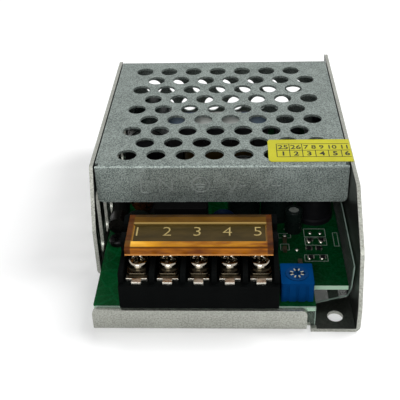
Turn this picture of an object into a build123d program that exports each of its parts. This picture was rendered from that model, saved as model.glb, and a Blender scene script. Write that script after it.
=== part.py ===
from build123d import *
from math import cos, radians, sin
import os

os.makedirs("parts", exist_ok=True)

# An enclosed switching power supply. X runs to the right, Y to the rear, Z up. The origin is the
# centre of the tray's floor, on the surface that the tray stands on. All sizes are millimetres.

# Tray
case_length = 110.0
case_width = 78.0
case_height = 36.0
case_sheet = 1.2
case_bend = 1.8
left_wall_front = -30.5
left_wall_rear = 49.6
left_wall_shoulder_height = 17.0
left_wall_top_setback = 6.3
left_wall_shoulder_corner = 3.0
open_side_inset = 2.6
lip_height = 7.7
lip_right = 24.0
lip_relief = 1.2
lip_relief_depth = 2.6
lip_corner = 1.6
right_wall_shoulder_height = 24.0
right_wall_shoulder_setback = 5.0
right_wall_toe_height = 8.0
right_wall_toe_slope = 3.0
right_wall_top_setback = 20.5
right_wall_rear_corner = 0.8
right_wall_shoulder_corner = 3.0

# Vent slots in the left wall
slot_count = 7
slot_pitch = 10.3
slot_first = -23.1
slot_width = 5.0
slot_bottom = 4.0
slot_top = 26.5

# Mounting hole in the front right corner and open notch in the rear left corner
mount_hole_diameter = 4.5
mount_hole_x = 32.5
mount_hole_inset = 5.1
notch_depth = 5.6

# Cover
cover_sheet = 0.8
cover_gap = 0.3
cover_front = -24.0
cover_rear = 49.1
cover_bend = 1.0
front_flange_height = 12.9
flange_corner = 1.6
side_lip_height = 8.6
corner_relief = 1.3

# Staggered round holes in the cover
hole_diameter = 5.9
hole_pitch = 8.8
hole_row_pitch = 7.28
hole_rows = 9
hole_columns = 7
hole_shift = 4.75
hole_first_x = -28.5
hole_first_inset = 8.5
rear_hole_rows = 2
rear_hole_first_drop = 10.0
rear_hole_middle = -0.2

# Countersunk screws that hold the cover to both walls
cover_screw_diameter = 3.0
cover_screw_head = 5.2
cover_screw_length = 4.2
cover_screw_drop = 4.8
sink_cross_length = 0.55
sink_cross_width = 0.14
sink_cross_depth = 0.6
cover_screw_spots = (-12.5, 39.0)
running_clearance = 0.1

# Half width of the band in which edges are picked for a fillet, and how far a cut starts outside
pick_margin = 0.1
cut_margin = 1.0

# Circuit board
board_thickness = 1.6
board_top = 7.8
board_left = -36.2
board_right = 36.6
board_front = -53.3
board_rear = 47.4
board_notch_left = 26.5
board_notch_rear = -44.3
board_corner = 0.8

# Standoffs pressed into the floor and the screws in them
standoff_diameter = 5.6
standoff_step_diameter = 4.2
board_screw_diameter = 3.0
board_screw_head = 5.5
board_screw_head_height = 1.9
board_screw_length = 5.6
board_screw_head_rounding = 0.35
board_cross_length = 3.15
board_cross_width = 0.72
board_screw_spots = ((-32.6, -24.0), (32.6, 11.2), (-32.6, 3.4), (14.0, 43.6))

# Clear insulating film
film_thickness = 0.25
film_left = -35.6
film_wall_gap = 0.05
film_right_height = 17.7
film_right_front = -47.8
film_right_bulge = -46.4
film_right_bulge_height = 8.8
film_right_rear = 6.0
film_left_height = 12.0
film_lip_right = 26.4
film_lip_rise = 0.4
film_cut_left = -45.0
film_cut_right = -41.4

# Seal across the seam between the cover and the right wall
seal_left = 14.0
seal_rear = -9.3
seal_width = 12.8
seal_drop = 9.0
seal_thickness = 0.12

# Terminal block
way_count = 5
way_pitch = 8.6
barrier_thickness = 1.4
block_centre = -6.1
block_front = -54.6
block_rear = -27.6
foot_height = 0.5
foot_width = 1.6
ledge_height = 7.8
barrier_rise = 3.5
barrier_setback = 1.2
barrier_corner = 1.2
back_wall_depth = 2.9
back_wall_rise = 5.2
back_step_depth = 11.4
back_step_rise = 2.5
end_post_rise = 8.0
post_corner = 1.0
hinge_post_depth = 4.4
front_post_depth = 4.0
front_post_front = -43.8
end_wall_rise = 5.4

# Contact bars, screws and clamp washers
bar_thickness = 0.9
bar_width = 6.0
bar_front = -52.3
bar_rear = -41.0
tab_width = 2.7
tab_front = -53.9
screw_y = -46.2
screw_diameter = 3.4
screw_head_diameter = 5.9
screw_head_height = 1.7
screw_head_rounding = 0.45
screw_reach = 5.4
screw_well_diameter = 4.2
screw_fit = 0.05
washer_thickness = 0.7
washer_width = 6.0
washer_depth = 9.4
washer_corner = 0.8
cross_width = 0.9
cross_length = 4.2
cross_depth = 0.9

# Amber flip cover over the terminals
flip_gap = 0.2
flip_front = -48.0
flip_rear = -31.8
flip_top = 24.4
flip_wall = 1.3
flip_lip_height = 2.7
flip_panel_recess = 0.5
flip_panel_front = 3.0
flip_panel_rear = 5.0
flip_side_rail = 1.6
flip_bevel = 1.2
hinge_setback = 1.7
hinge_drop = 1.9
hinge_pin_diameter = 1.5
hinge_pin_reach = 1.0

# Trimmer
trimmer_width = 9.1
trimmer_depth = 8.9
trimmer_height = 6.5
trimmer_corner = 0.4
trimmer_top_wall = 0.9
trimmer_x = 21.35
trimmer_front = -51.2
trimmer_rib_count = 3
trimmer_rib_width = 1.5
trimmer_groove_depth = 0.35
rotor_diameter = 6.4
rotor_height = 2.4
rotor_rise = 0.15
rotor_slot_width = 0.8
rotor_slot_length = 4.6
rotor_slot_depth = 0.9

# Transformer
core_length = 33.0
core_depth = 12.7
core_height = 22.0
core_yoke = 4.6
core_limb = 9.0
core_side_limb = 4.6
core_clearance = 0.3
transformer_x = -1.6
transformer_y = 13.0
transformer_rise = 1.2
bobbin_wall = 1.0
bobbin_width = 25.0
bobbin_depth = 22.0
winding_inset = 0.8
winding_corner = 3.0
core_tape_thickness = 0.15
core_tape_width = 10.5
label_length = 15.6
label_thickness = 0.1

# Capacitors
sleeve_thickness = 0.25
sleeve_turnover = 0.9
sleeve_rounding = 0.8
bulk_diameter = 16.0
bulk_length = 27.0
bulk_x = -26.7
bulk_front = 18.6
bulk_lead_reach = 1.6
bulk_lead_spread = 7.5
vent_width = 0.5
vent_share = 0.6
output_diameter = 10.0
output_height = 19.0
output_spots = ((28.6, 2.6), (17.6, -9.2), (6.8, -8.6))
auxiliary_diameter = 5.0
auxiliary_height = 7.6
auxiliary_spot = (22.4, -17.6)

# Mains side
fuse_diameter = 5.0
fuse_length = 20.0
fuse_cap_length = 5.0
fuse_cap_wall = 0.35
fuse_x = -33.0
fuse_front = -20.4
fuse_rise = 0.6
thermistor_diameter = 9.0
thermistor_thickness = 4.2
disc_rounding = 0.35
thermistor_spot = (-25.9, -22.6)
filter_box_size = (16.5, 7.0, 13.0)
filter_box_spot = (-12.6, -20.6)
filter_box_corner = 0.8
choke_outer = 15.0
choke_inner = 7.6
choke_width = 6.0
choke_spot = (-21.0, -8.6)
choke_base = 2.0
choke_winding = 1.2
choke_winding_angle = 130.0
rectifier_size = (14.5, 3.8, 11.0)
rectifier_rise = 2.4
rectifier_spot = (-26.6, 13.6)
rectifier_lead_pitch = 3.8
rectifier_corner = 2.2
lead_thickness = 0.8
lead_rise = 1.6
lead_spread = 5.0
resistor_diameter = 3.0
resistor_end_diameter = 3.5
resistor_end_length = 1.9
resistor_length = 9.0
resistor_lead_reach = 1.8
resistor_rise = 0.8
axial_resistor_spots = ((-6.0, 32.0), (-6.0, 37.5), (8.5, 33.5))

# Output side
package_width = 10.2
package_height = 15.4
package_thickness = 4.4
package_tab_thickness = 1.3
package_body_height = 9.2
package_rise = 3.4
package_spots = (20.5, 36.0)
package_lead_pitch = 2.54
package_hole_diameter = 3.6
package_hole_drop = 2.9
pad_thickness = 0.3
pad_margin = 0.6
clamp_thickness = 1.2
clamp_rounding = 0.8
clamp_height = 7.0
clamp_fold = 3.0
clamp_end = 3.0
clamp_screw_margin = 3.2
clamp_screw_length = 8.6
inductor_diameter = 12.0
inductor_height = 13.0
inductor_flange = 1.4
inductor_waist = 0.5
inductor_spot = (29.4, -9.6)
safety_diameter = 8.0
safety_thickness = 3.6
safety_spot = (0.4, -20.6)
coupler_size = (6.4, 4.6, 3.4)
coupler_spot = (11.4, -21.6)
circuit_size = (9.4, 6.4, 3.3)
circuit_spot = (24.0, 43.0)
leg_pitch = 2.54
leg_width = 0.6
leg_thickness = 0.3
leg_reach = 0.9
leg_rise = 0.5
chip_size = (2.0, 1.25, 0.55)
resistor_spots = ((27.2, -23.2), (30.8, -23.2), (26.9, -31.6), (30.4, -31.6), (26.6, -27.4), (29.6, -27.4))
chip_capacitor_spots = ((19.4, -23.6), (19.2, -28.2), (23.4, -34.4))

# Derived places
half_length = case_length / 2
half_width = case_width / 2
wall_inside = half_width - case_sheet
cover_half_width = wall_inside - cover_gap
cover_under = case_height - cover_sheet
board_under = board_top - board_thickness
open_side_x = -half_width + open_side_inset
hole_y = -half_length + mount_hole_inset
notch_y = half_length - notch_depth + mount_hole_diameter / 2
slot_middle = (slot_bottom + slot_top) / 2
block_half_width = (way_count * way_pitch + barrier_thickness) / 2
block_base = board_top + foot_height
ledge_top = block_base + ledge_height
bar_top = ledge_top + bar_thickness
washer_top = bar_top + washer_thickness
way_places = [block_centre + way_pitch * (i - (way_count - 1) / 2) for i in range(way_count)]
barrier_places = [block_centre + way_pitch * (i - way_count / 2) for i in range(way_count + 1)]
flip_half_width = block_half_width - barrier_thickness - flip_gap
hinge_y = flip_rear - hinge_setback
hinge_z = flip_top - hinge_drop
rotor_y = trimmer_front + trimmer_depth / 2
wall_screw_z = case_height - cover_screw_drop
clamp_z = board_top + package_rise + package_body_height / 2
clamp_screw_spots = (
    package_spots[0] - package_width / 2 - clamp_screw_margin,
    (package_spots[0] + package_spots[1]) / 2,
    package_spots[1] + package_width / 2 + clamp_screw_margin,
)
wall_screw_planes = [
    Plane(origin=(side * half_width, y, wall_screw_z), z_dir=(side, 0, 0))
    for side in (-1, 1)
    for y in cover_screw_spots
]
clamp_screw_planes = [Plane(origin=(half_width, y, clamp_z), z_dir=(1, 0, 0)) for y in clamp_screw_spots]
screw_hole = cover_screw_diameter + 2 * running_clearance
sink_diameter = cover_screw_head + 2 * running_clearance


def save(part, name):
    """Labels a finished piece and writes it to its own file."""
    part.label = name
    export_step(part, "parts/" + name + ".step")


def near(place):
    """Gives the limits within which edges at a place are picked."""
    return place - pick_margin, place + pick_margin


def span(x_low, x_high, y_low, y_high, mode=Mode.ADD):
    """Draws a rectangle between two pairs of limits in the sketch that is open."""
    with Locations(((x_low + x_high) / 2, (y_low + y_high) / 2)):
        Rectangle(x_high - x_low, y_high - y_low, mode=mode)


def countersunk_screw(axis_plane, diameter, head, length):
    """Makes a screw with a flush conical head whose top lies on the plane and whose shank goes down."""
    cone = (head - diameter) / 2
    with BuildPart() as screw:
        with BuildSketch(axis_plane):
            Circle(diameter / 2)
        extrude(amount=-length)
        with BuildSketch(axis_plane.offset(-cone)):
            Circle(diameter / 2)
        with BuildSketch(axis_plane):
            Circle(head / 2)
        loft()
        with BuildSketch(axis_plane):
            Rectangle(head * sink_cross_length, head * sink_cross_width)
            Rectangle(head * sink_cross_width, head * sink_cross_length)
        extrude(amount=-cone * sink_cross_depth, mode=Mode.SUBTRACT)
    return screw.part


# Tray: a U folded from one sheet, cut open at both ends of its left side
with BuildPart() as chassis:
    with BuildSketch(Plane.XZ.offset(-half_length)):
        span(-half_width, half_width, 0, case_height)
        span(-wall_inside, wall_inside, case_sheet, case_height, mode=Mode.SUBTRACT)
    extrude(amount=case_length)
    fillet(chassis.edges().filter_by(Axis.Y).group_by(Axis.Z)[0], case_bend)
    fillet(chassis.edges().filter_by(Axis.Y).filter_by_position(Axis.Z, *near(case_sheet))
           .filter_by_position(Axis.X, -half_width + pick_margin, half_width - pick_margin),
           case_bend - case_sheet)
    with BuildSketch(Plane.XY):
        span(-half_width - cut_margin, open_side_x, -half_length - cut_margin, left_wall_front)
        span(-half_width - cut_margin, open_side_x, left_wall_rear, half_length + cut_margin)
    extrude(amount=case_height + cut_margin, mode=Mode.SUBTRACT)
    with BuildSketch(Plane.YZ.offset(-half_width - cut_margin)):
        with BuildLine():
            Polyline(
                (left_wall_front - cut_margin, left_wall_shoulder_height),
                (left_wall_front, left_wall_shoulder_height),
                (left_wall_front + left_wall_top_setback, case_height),
                (left_wall_front + left_wall_top_setback, case_height + cut_margin),
                (left_wall_front - cut_margin, case_height + cut_margin),
                close=True,
            )
        make_face()
    extrude(amount=case_sheet + 2 * cut_margin, mode=Mode.SUBTRACT)
    left_wall_corners = (
        chassis.edges().filter_by(Axis.X).filter_by_position(Axis.X, -half_width, -wall_inside)
    )
    fillet(left_wall_corners.filter_by_position(Axis.Z, *near(left_wall_shoulder_height)),
           left_wall_shoulder_corner)
    with BuildSketch(Plane.YZ.offset(wall_inside - cut_margin)):
        with BuildLine():
            Polyline(
                (-half_length - cut_margin, right_wall_toe_height - right_wall_toe_slope * cut_margin),
                (-half_length, right_wall_toe_height),
                (-half_length + right_wall_shoulder_setback, right_wall_shoulder_height),
                (-half_length + right_wall_top_setback, case_height),
                (-half_length + right_wall_top_setback, case_height + cut_margin),
                (-half_length - cut_margin, case_height + cut_margin),
                close=True,
            )
        make_face()
    extrude(amount=case_sheet + 2 * cut_margin, mode=Mode.SUBTRACT)
    right_wall_corners = (
        chassis.edges().filter_by(Axis.X).filter_by_position(Axis.X, wall_inside, half_width)
    )
    fillet(right_wall_corners.filter_by_position(Axis.Z, *near(right_wall_shoulder_height)),
           right_wall_shoulder_corner)
    fillet(right_wall_corners.filter_by_position(Axis.Z, *near(case_height)).sort_by(Axis.Y)[-1:],
           right_wall_rear_corner)
    with BuildSketch(Plane.XZ.offset(half_length)):
        span(open_side_x, lip_right, case_sheet / 2, lip_height)
        fillet(vertices().group_by(Axis.Y)[-1], lip_corner)
    extrude(amount=-case_sheet)
    with BuildSketch(Plane.XY):
        span(lip_right, lip_right + lip_relief, -half_length - cut_margin, -half_length + lip_relief_depth)
    extrude(amount=lip_height, mode=Mode.SUBTRACT)
    fillet(chassis.edges().filter_by(Axis.X).group_by(Axis.Z)[0].sort_by(Axis.Y)[:2]
           .filter_by_position(Axis.X, -half_width, lip_right - cut_margin), case_bend)
    with BuildSketch(Plane.YZ.offset(-half_width - cut_margin)):
        with Locations([(slot_first + slot_pitch * i, slot_middle) for i in range(slot_count)]):
            SlotOverall(slot_top - slot_bottom, slot_width, rotation=90)
    extrude(amount=case_sheet + 2 * cut_margin, mode=Mode.SUBTRACT)
    with BuildSketch(Plane.XY):
        with Locations((mount_hole_x, hole_y)):
            Circle(mount_hole_diameter / 2)
        with Locations((-mount_hole_x, notch_y)):
            Circle(mount_hole_diameter / 2)
        span(-mount_hole_x - mount_hole_diameter / 2, -mount_hole_x + mount_hole_diameter / 2,
             notch_y, half_length + cut_margin)
        with Locations(board_screw_spots):
            Circle(standoff_step_diameter / 2)
    extrude(amount=case_sheet, mode=Mode.SUBTRACT)
    with Locations(wall_screw_planes + clamp_screw_planes):
        CounterSinkHole(screw_hole / 2, sink_diameter / 2, depth=case_sheet * 2)
save(chassis.part, "chassis")

# Cover: perforated top, short front flange, full perforated rear flange and two side lips
hole_rows_y = [cover_rear - hole_first_inset - hole_row_pitch * i for i in range(hole_rows)]
hole_columns_x = [hole_first_x + hole_pitch * i for i in range(hole_columns)]
with BuildPart() as cover:
    with BuildSketch(Plane.YZ.offset(-cover_half_width)):
        span(cover_front, cover_rear, cover_under, case_height)
        span(cover_front, cover_front + cover_sheet, case_height - front_flange_height, case_height)
        span(cover_rear - cover_sheet, cover_rear, case_sheet + cover_gap, case_height)
    extrude(amount=2 * cover_half_width)
    fillet(cover.edges().filter_by(Axis.X).group_by(Axis.Z)[-1], cover_bend)
    flange_ends = cover.edges().filter_by(Axis.Y).filter_by_position(
        Axis.Z, *near(case_height - front_flange_height))
    fillet(flange_ends, flange_corner)
    with BuildSketch(Plane.XY.offset(case_height - side_lip_height)):
        for side in (-1, 1):
            with Locations((side * (cover_half_width - cover_sheet / 2), (cover_front + cover_rear) / 2)):
                Rectangle(cover_sheet, cover_rear - cover_front - 2 * corner_relief)
    extrude(amount=side_lip_height - cover_sheet / 2)
    with BuildSketch(Plane.XY.offset(case_height)):
        for row, y in enumerate(hole_rows_y):
            with Locations([(x + hole_shift * (row % 2), y) for x in hole_columns_x]):
                Circle(hole_diameter / 2)
    extrude(amount=-cover_sheet * 2, mode=Mode.SUBTRACT)
    with BuildSketch(Plane.XZ.offset(-cover_rear)):
        for row in range(rear_hole_rows):
            z = case_height - rear_hole_first_drop - hole_row_pitch * row
            with Locations((rear_hole_middle, z)):
                with GridLocations(hole_pitch, hole_row_pitch, hole_columns - row % 2, 1):
                    Circle(hole_diameter / 2)
    extrude(amount=cover_sheet, mode=Mode.SUBTRACT)
    with BuildSketch(Plane.XY.offset(case_height)):
        for side in (-1, 1):
            with Locations((side * cover_half_width, cover_front + corner_relief / 2 + cover_sheet / 2)):
                Rectangle(corner_relief * 1.6, corner_relief)
    extrude(amount=-cover_bend - cover_sheet, mode=Mode.SUBTRACT)
    with Locations(wall_screw_planes):
        Hole(cover_screw_diameter / 2 + running_clearance,
             depth=case_sheet + cover_gap + cover_sheet + cut_margin)
save(cover.part, "cover")

with BuildPart() as cover_screws:
    for plane in wall_screw_planes:
        add(countersunk_screw(plane, cover_screw_diameter, cover_screw_head, cover_screw_length))
save(cover_screws.part, "cover_screws")

# Circuit board with its front right corner cut away
with BuildPart() as pcb:
    with BuildSketch(Plane.XY.offset(board_under)):
        span(board_left, board_right, board_front, board_rear)
        fillet(vertices(), board_corner)
        span(board_notch_left, board_right + cut_margin, board_front - cut_margin, board_notch_rear,
             mode=Mode.SUBTRACT)
        with Locations(board_screw_spots):
            Circle(board_screw_diameter / 2 + running_clearance, mode=Mode.SUBTRACT)
    extrude(amount=board_thickness)
save(pcb.part, "pcb")

# Standoffs pressed into the floor, and the pan head screws that hold the board on them
with BuildPart() as standoffs:
    with BuildSketch(Plane.XY.offset(case_sheet)):
        with Locations(board_screw_spots):
            RegularPolygon(standoff_diameter / 2, 6)
    extrude(amount=board_under - case_sheet)
    with BuildSketch(Plane.XY):
        with Locations(board_screw_spots):
            Circle(standoff_step_diameter / 2)
    extrude(amount=case_sheet)
    with BuildSketch(Plane.XY):
        with Locations(board_screw_spots):
            Circle(board_screw_diameter / 2)
    extrude(amount=board_under, mode=Mode.SUBTRACT)
save(standoffs.part, "standoffs")

with BuildPart() as board_screws:
    with BuildSketch(Plane.XY.offset(board_top)):
        with Locations(board_screw_spots):
            Circle(board_screw_head / 2)
    extrude(amount=board_screw_head_height)
    fillet(board_screws.edges().group_by(Axis.Z)[-1], board_screw_head_height * board_screw_head_rounding)
    with BuildSketch(Plane.XY.offset(board_top)):
        with Locations(board_screw_spots):
            Circle(board_screw_diameter / 2)
    extrude(amount=-board_screw_length)
    with BuildSketch(Plane.XY.offset(board_top + board_screw_head_height)):
        with Locations(board_screw_spots):
            Rectangle(board_cross_length, board_cross_width)
            Rectangle(board_cross_width, board_cross_length)
    extrude(amount=-board_screw_head_height * 0.5, mode=Mode.SUBTRACT)
save(board_screws.part, "board_screws")

# Insulating film: one clear sheet under the board, folded up at the front and along both walls
film_fold_x = half_width - case_bend - film_wall_gap
lip_inside = -half_length + case_sheet
with BuildPart() as insulating_film:
    with BuildSketch(Plane.XY.offset(case_sheet)):
        span(film_left, film_fold_x, lip_inside, board_rear)
        span(-film_fold_x, film_left, left_wall_front + 1, board_rear)
        with BuildLine():
            Polyline(
                (film_lip_right, lip_inside - 1),
                (film_lip_right, film_cut_left),
                (film_fold_x + 1, film_cut_right),
                (film_fold_x + 1, lip_inside - 1),
                close=True,
            )
        make_face(mode=Mode.SUBTRACT)
        with Locations(board_screw_spots):
            Circle(standoff_diameter / 2 + cover_gap, mode=Mode.SUBTRACT)
    extrude(amount=film_thickness)
    with BuildSketch(Plane.XZ.offset(-lip_inside)):
        span(film_left, film_lip_right, case_sheet, lip_height + film_lip_rise)
    extrude(amount=-film_thickness)
    with BuildSketch(Plane.YZ.offset(film_fold_x - film_thickness)):
        with BuildLine():
            Polyline(
                (film_cut_right, case_sheet),
                (film_right_bulge, film_right_bulge_height),
                (film_right_front, film_right_height),
                (film_right_rear, film_right_height),
                (film_right_rear, case_sheet),
                close=True,
            )
        make_face()
    extrude(amount=film_thickness)
    with BuildSketch(Plane.YZ.offset(-film_fold_x)):
        span(left_wall_front + 1, board_rear, case_sheet, film_left_height)
    extrude(amount=film_thickness)
save(insulating_film.part, "insulating_film")

# Seal: a thin strip over the seam, folded down over the right wall
with BuildPart() as seal_sticker:
    with BuildSketch(Plane.XZ.offset(-seal_rear)):
        span(seal_left, half_width + seal_thickness, case_height, case_height + seal_thickness)
        span(half_width, half_width + seal_thickness, case_height - seal_drop, case_height + seal_thickness)
    extrude(amount=seal_width)
save(seal_sticker.part, "seal_sticker")

# Terminal block: a moulded body with a ledge, barriers between the ways and posts for the flip cover
with BuildPart() as terminal_block:
    with BuildSketch(Plane.YZ.offset(block_centre - block_half_width)):
        span(block_front, block_rear, block_base, ledge_top)
        span(block_rear - back_step_depth, block_rear, ledge_top, ledge_top + back_step_rise)
        span(block_rear - back_wall_depth, block_rear, ledge_top, ledge_top + back_wall_rise)
    extrude(amount=2 * block_half_width)
    for x in barrier_places:
        with BuildSketch(Plane.YZ.offset(x - barrier_thickness / 2)):
            span(block_front + barrier_setback, block_rear - back_wall_depth, ledge_top,
                 ledge_top + barrier_rise)
            fillet(vertices().sort_by(Axis.X)[:2].sort_by(Axis.Y)[-1:], barrier_corner)
        extrude(amount=barrier_thickness)
    for x in (barrier_places[0], barrier_places[-1]):
        with BuildSketch(Plane.YZ.offset(x - barrier_thickness / 2)):
            span(front_post_front, hinge_y + hinge_post_depth / 2, ledge_top, ledge_top + end_wall_rise)
            span(front_post_front, front_post_front + front_post_depth, ledge_top, ledge_top + end_post_rise)
            span(hinge_y - hinge_post_depth / 2, hinge_y + hinge_post_depth / 2, ledge_top,
                 ledge_top + end_post_rise)
            fillet(vertices().group_by(Axis.Y)[-1], post_corner)
            with Locations((hinge_y, hinge_z)):
                Circle(hinge_pin_diameter / 2 + screw_fit, mode=Mode.SUBTRACT)
        extrude(amount=barrier_thickness)
    with BuildSketch(Plane.XY.offset(ledge_top)):
        with Locations([(x, screw_y) for x in way_places]):
            Circle(screw_well_diameter / 2)
    extrude(amount=-screw_reach - foot_height, mode=Mode.SUBTRACT)
    with BuildSketch(Plane.XY.offset(board_top)):
        for y in (board_front + foot_width, block_rear - foot_width):
            with Locations([(x, y) for x in way_places]):
                Circle(foot_width / 2)
    extrude(amount=foot_height)
save(terminal_block.part, "terminal_block")

# Contact bars: one metal bar in each way, with a narrow tab towards the wire
with BuildPart() as contact_bars:
    with BuildSketch(Plane.XY.offset(ledge_top)):
        for x in way_places:
            span(x - bar_width / 2, x + bar_width / 2, bar_front, bar_rear)
            span(x - tab_width / 2, x + tab_width / 2, tab_front, bar_front)
        with Locations([(x, screw_y) for x in way_places]):
            Circle(screw_diameter / 2 + screw_fit, mode=Mode.SUBTRACT)
    extrude(amount=bar_thickness)
save(contact_bars.part, "contact_bars")

# Terminal screws and the square clamp washers under their heads
for number, x in enumerate(way_places, start=1):
    with BuildPart() as clamp_washer:
        with BuildSketch(Plane.XY.offset(bar_top)):
            with Locations((x, screw_y)):
                RectangleRounded(washer_width, washer_depth, washer_corner)
                Circle(screw_diameter / 2 + running_clearance, mode=Mode.SUBTRACT)
        extrude(amount=washer_thickness)
    save(clamp_washer.part, "clamp_washer_" + str(number))
    with BuildPart() as terminal_screw:
        with BuildSketch(Plane.XY.offset(washer_top)):
            with Locations((x, screw_y)):
                Circle(screw_head_diameter / 2)
        extrude(amount=screw_head_height)
        fillet(terminal_screw.edges().group_by(Axis.Z)[-1], screw_head_height * screw_head_rounding)
        with BuildSketch(Plane.XY.offset(washer_top)):
            with Locations((x, screw_y)):
                Circle(screw_diameter / 2)
        extrude(amount=-screw_reach)
        with BuildSketch(Plane.XY.offset(washer_top + screw_head_height)):
            with Locations((x, screw_y)):
                Rectangle(cross_length, cross_width)
                Rectangle(cross_width, cross_length)
        extrude(amount=-cross_depth, mode=Mode.SUBTRACT)
    save(terminal_screw.part, "terminal_screw_" + str(number))

# Flip cover: a shallow amber tray turned over, with a recessed panel and two hinge pins
with BuildPart() as flip_cover:
    with BuildSketch(Plane.YZ.offset(block_centre - flip_half_width)):
        with BuildLine():
            Polyline(
                (flip_front, flip_top - flip_lip_height),
                (flip_front, flip_top - flip_bevel / 2),
                (flip_front + flip_bevel, flip_top),
                (flip_rear - flip_bevel / 2, flip_top),
                (flip_rear, flip_top - flip_bevel / 2),
                (flip_rear, flip_top - flip_lip_height),
                close=True,
            )
        make_face()
    extrude(amount=2 * flip_half_width)
    with BuildSketch(Plane.XY.offset(flip_top - flip_lip_height)):
        span(block_centre - flip_half_width + flip_wall, block_centre + flip_half_width - flip_wall,
             flip_front + flip_wall, flip_rear + 1)
    extrude(amount=flip_lip_height - flip_wall, mode=Mode.SUBTRACT)
    with BuildSketch(Plane.XY.offset(flip_top)):
        span(block_centre - flip_half_width + flip_side_rail, block_centre + flip_half_width - flip_side_rail,
             flip_front + flip_panel_front, flip_rear - flip_panel_rear)
    extrude(amount=-flip_panel_recess, mode=Mode.SUBTRACT)
    with BuildSketch(Plane.YZ.offset(block_centre - flip_half_width - flip_gap - hinge_pin_reach)):
        with Locations((hinge_y, hinge_z)):
            Circle(hinge_pin_diameter / 2)
    extrude(amount=flip_gap + hinge_pin_reach + flip_wall)
    with BuildSketch(Plane.YZ.offset(block_centre + flip_half_width - flip_wall)):
        with Locations((hinge_y, hinge_z)):
            Circle(hinge_pin_diameter / 2)
    extrude(amount=flip_gap + hinge_pin_reach + flip_wall)
save(flip_cover.part, "flip_cover")

# Trimmer: a ribbed square body with a turning rotor in its top
trimmer_top = board_top + trimmer_height
groove_span = (trimmer_width - trimmer_rib_count * trimmer_rib_width) / (trimmer_rib_count + 1)
with BuildPart() as trimmer_body:
    with BuildSketch(Plane.XY.offset(board_top)):
        span(trimmer_x - trimmer_width / 2, trimmer_x + trimmer_width / 2, trimmer_front,
             trimmer_front + trimmer_depth)
    extrude(amount=trimmer_height)
    fillet(trimmer_body.edges().filter_by(Axis.Z), trimmer_corner)
    with BuildSketch(Plane.XY.offset(board_top)):
        for i in range(trimmer_rib_count):
            groove_x = trimmer_x - trimmer_width / 2 + groove_span * (i + 1) + trimmer_rib_width * (i + 0.5)
            span(groove_x - groove_span / 3, groove_x + groove_span / 3, trimmer_front - 1,
                 trimmer_front + trimmer_groove_depth)
    extrude(amount=trimmer_height - trimmer_top_wall, mode=Mode.SUBTRACT)
    with BuildSketch(Plane.XY.offset(trimmer_top)):
        with Locations((trimmer_x, rotor_y)):
            Circle(rotor_diameter / 2 + screw_fit)
    extrude(amount=-rotor_height, mode=Mode.SUBTRACT)
save(trimmer_body.part, "trimmer_body")

with BuildPart() as trimmer_rotor:
    with BuildSketch(Plane.XY.offset(trimmer_top + rotor_rise)):
        with Locations((trimmer_x, rotor_y)):
            Circle(rotor_diameter / 2)
    extrude(amount=-rotor_height)
    with BuildSketch(Plane.XY.offset(trimmer_top + rotor_rise)):
        with Locations((trimmer_x, rotor_y)):
            Rectangle(rotor_slot_length, rotor_slot_width)
            Rectangle(rotor_slot_width, rotor_slot_length)
    extrude(amount=-rotor_slot_depth, mode=Mode.SUBTRACT)
save(trimmer_rotor.part, "trimmer_rotor")

# Transformer: two E shaped core halves, a bobbin, its winding, a tape round the core and a plain label
core_base = board_top + transformer_rise
core_middle = core_base + core_height / 2
core_top = core_base + core_height
window_half_height = core_height / 2 - core_yoke


def core_half(side):
    """Makes the lower (side -1) or upper (side 1) core half."""
    with BuildPart() as half:
        with BuildSketch(Plane.XZ.offset(-transformer_y - core_depth / 2)):
            with Locations((transformer_x, core_middle + side * core_height / 4)):
                Rectangle(core_length, core_height / 2)
            for way in (-1, 1):
                window = (core_length - core_limb) / 2 - core_side_limb
                window_x = transformer_x + way * (core_limb / 2 + window / 2)
                with Locations((window_x, core_middle + side * window_half_height / 2)):
                    Rectangle(window, window_half_height, mode=Mode.SUBTRACT)
        extrude(amount=core_depth)
    return half.part


save(core_half(-1), "transformer_core_lower")
save(core_half(1), "transformer_core_upper")

tube_half_x = core_limb / 2 + core_clearance
tube_half_y = core_depth / 2 + core_clearance
flange_half_height = window_half_height - core_clearance
bobbin_half_width = min(bobbin_width / 2, core_length / 2 - core_side_limb - core_clearance)
with BuildPart() as transformer_bobbin:
    for z in (core_middle - flange_half_height, core_middle + flange_half_height - bobbin_wall):
        with BuildSketch(Plane.XY.offset(z)):
            with Locations((transformer_x, transformer_y)):
                Rectangle(2 * bobbin_half_width, bobbin_depth)
        extrude(amount=bobbin_wall)
    with BuildSketch(Plane.XY.offset(core_middle - flange_half_height)):
        with Locations((transformer_x, transformer_y)):
            Rectangle(2 * (tube_half_x + bobbin_wall), 2 * (tube_half_y + bobbin_wall))
    extrude(amount=2 * flange_half_height)
    with BuildSketch(Plane.XY.offset(core_middle - flange_half_height)):
        with Locations((transformer_x, transformer_y)):
            Rectangle(2 * tube_half_x, 2 * tube_half_y)
    extrude(amount=2 * flange_half_height, mode=Mode.SUBTRACT)
    rail_depth = bobbin_depth / 2 - core_depth / 2 - core_clearance
    with BuildSketch(Plane.XY.offset(board_top)):
        for side in (-1, 1):
            with Locations((transformer_x, transformer_y + side * (bobbin_depth - rail_depth) / 2)):
                Rectangle(2 * bobbin_half_width, rail_depth)
    extrude(amount=core_middle - flange_half_height - board_top)
save(transformer_bobbin.part, "transformer_bobbin")

with BuildPart() as transformer_winding:
    with BuildSketch(Plane.XY.offset(core_middle - flange_half_height + bobbin_wall)):
        with Locations((transformer_x, transformer_y)):
            RectangleRounded(2 * (bobbin_half_width - winding_inset / 2), bobbin_depth - winding_inset,
                             winding_corner)
            Rectangle(2 * (tube_half_x + bobbin_wall), 2 * (tube_half_y + bobbin_wall), mode=Mode.SUBTRACT)
    extrude(amount=2 * (flange_half_height - bobbin_wall))
save(transformer_winding.part, "transformer_winding")

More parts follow.
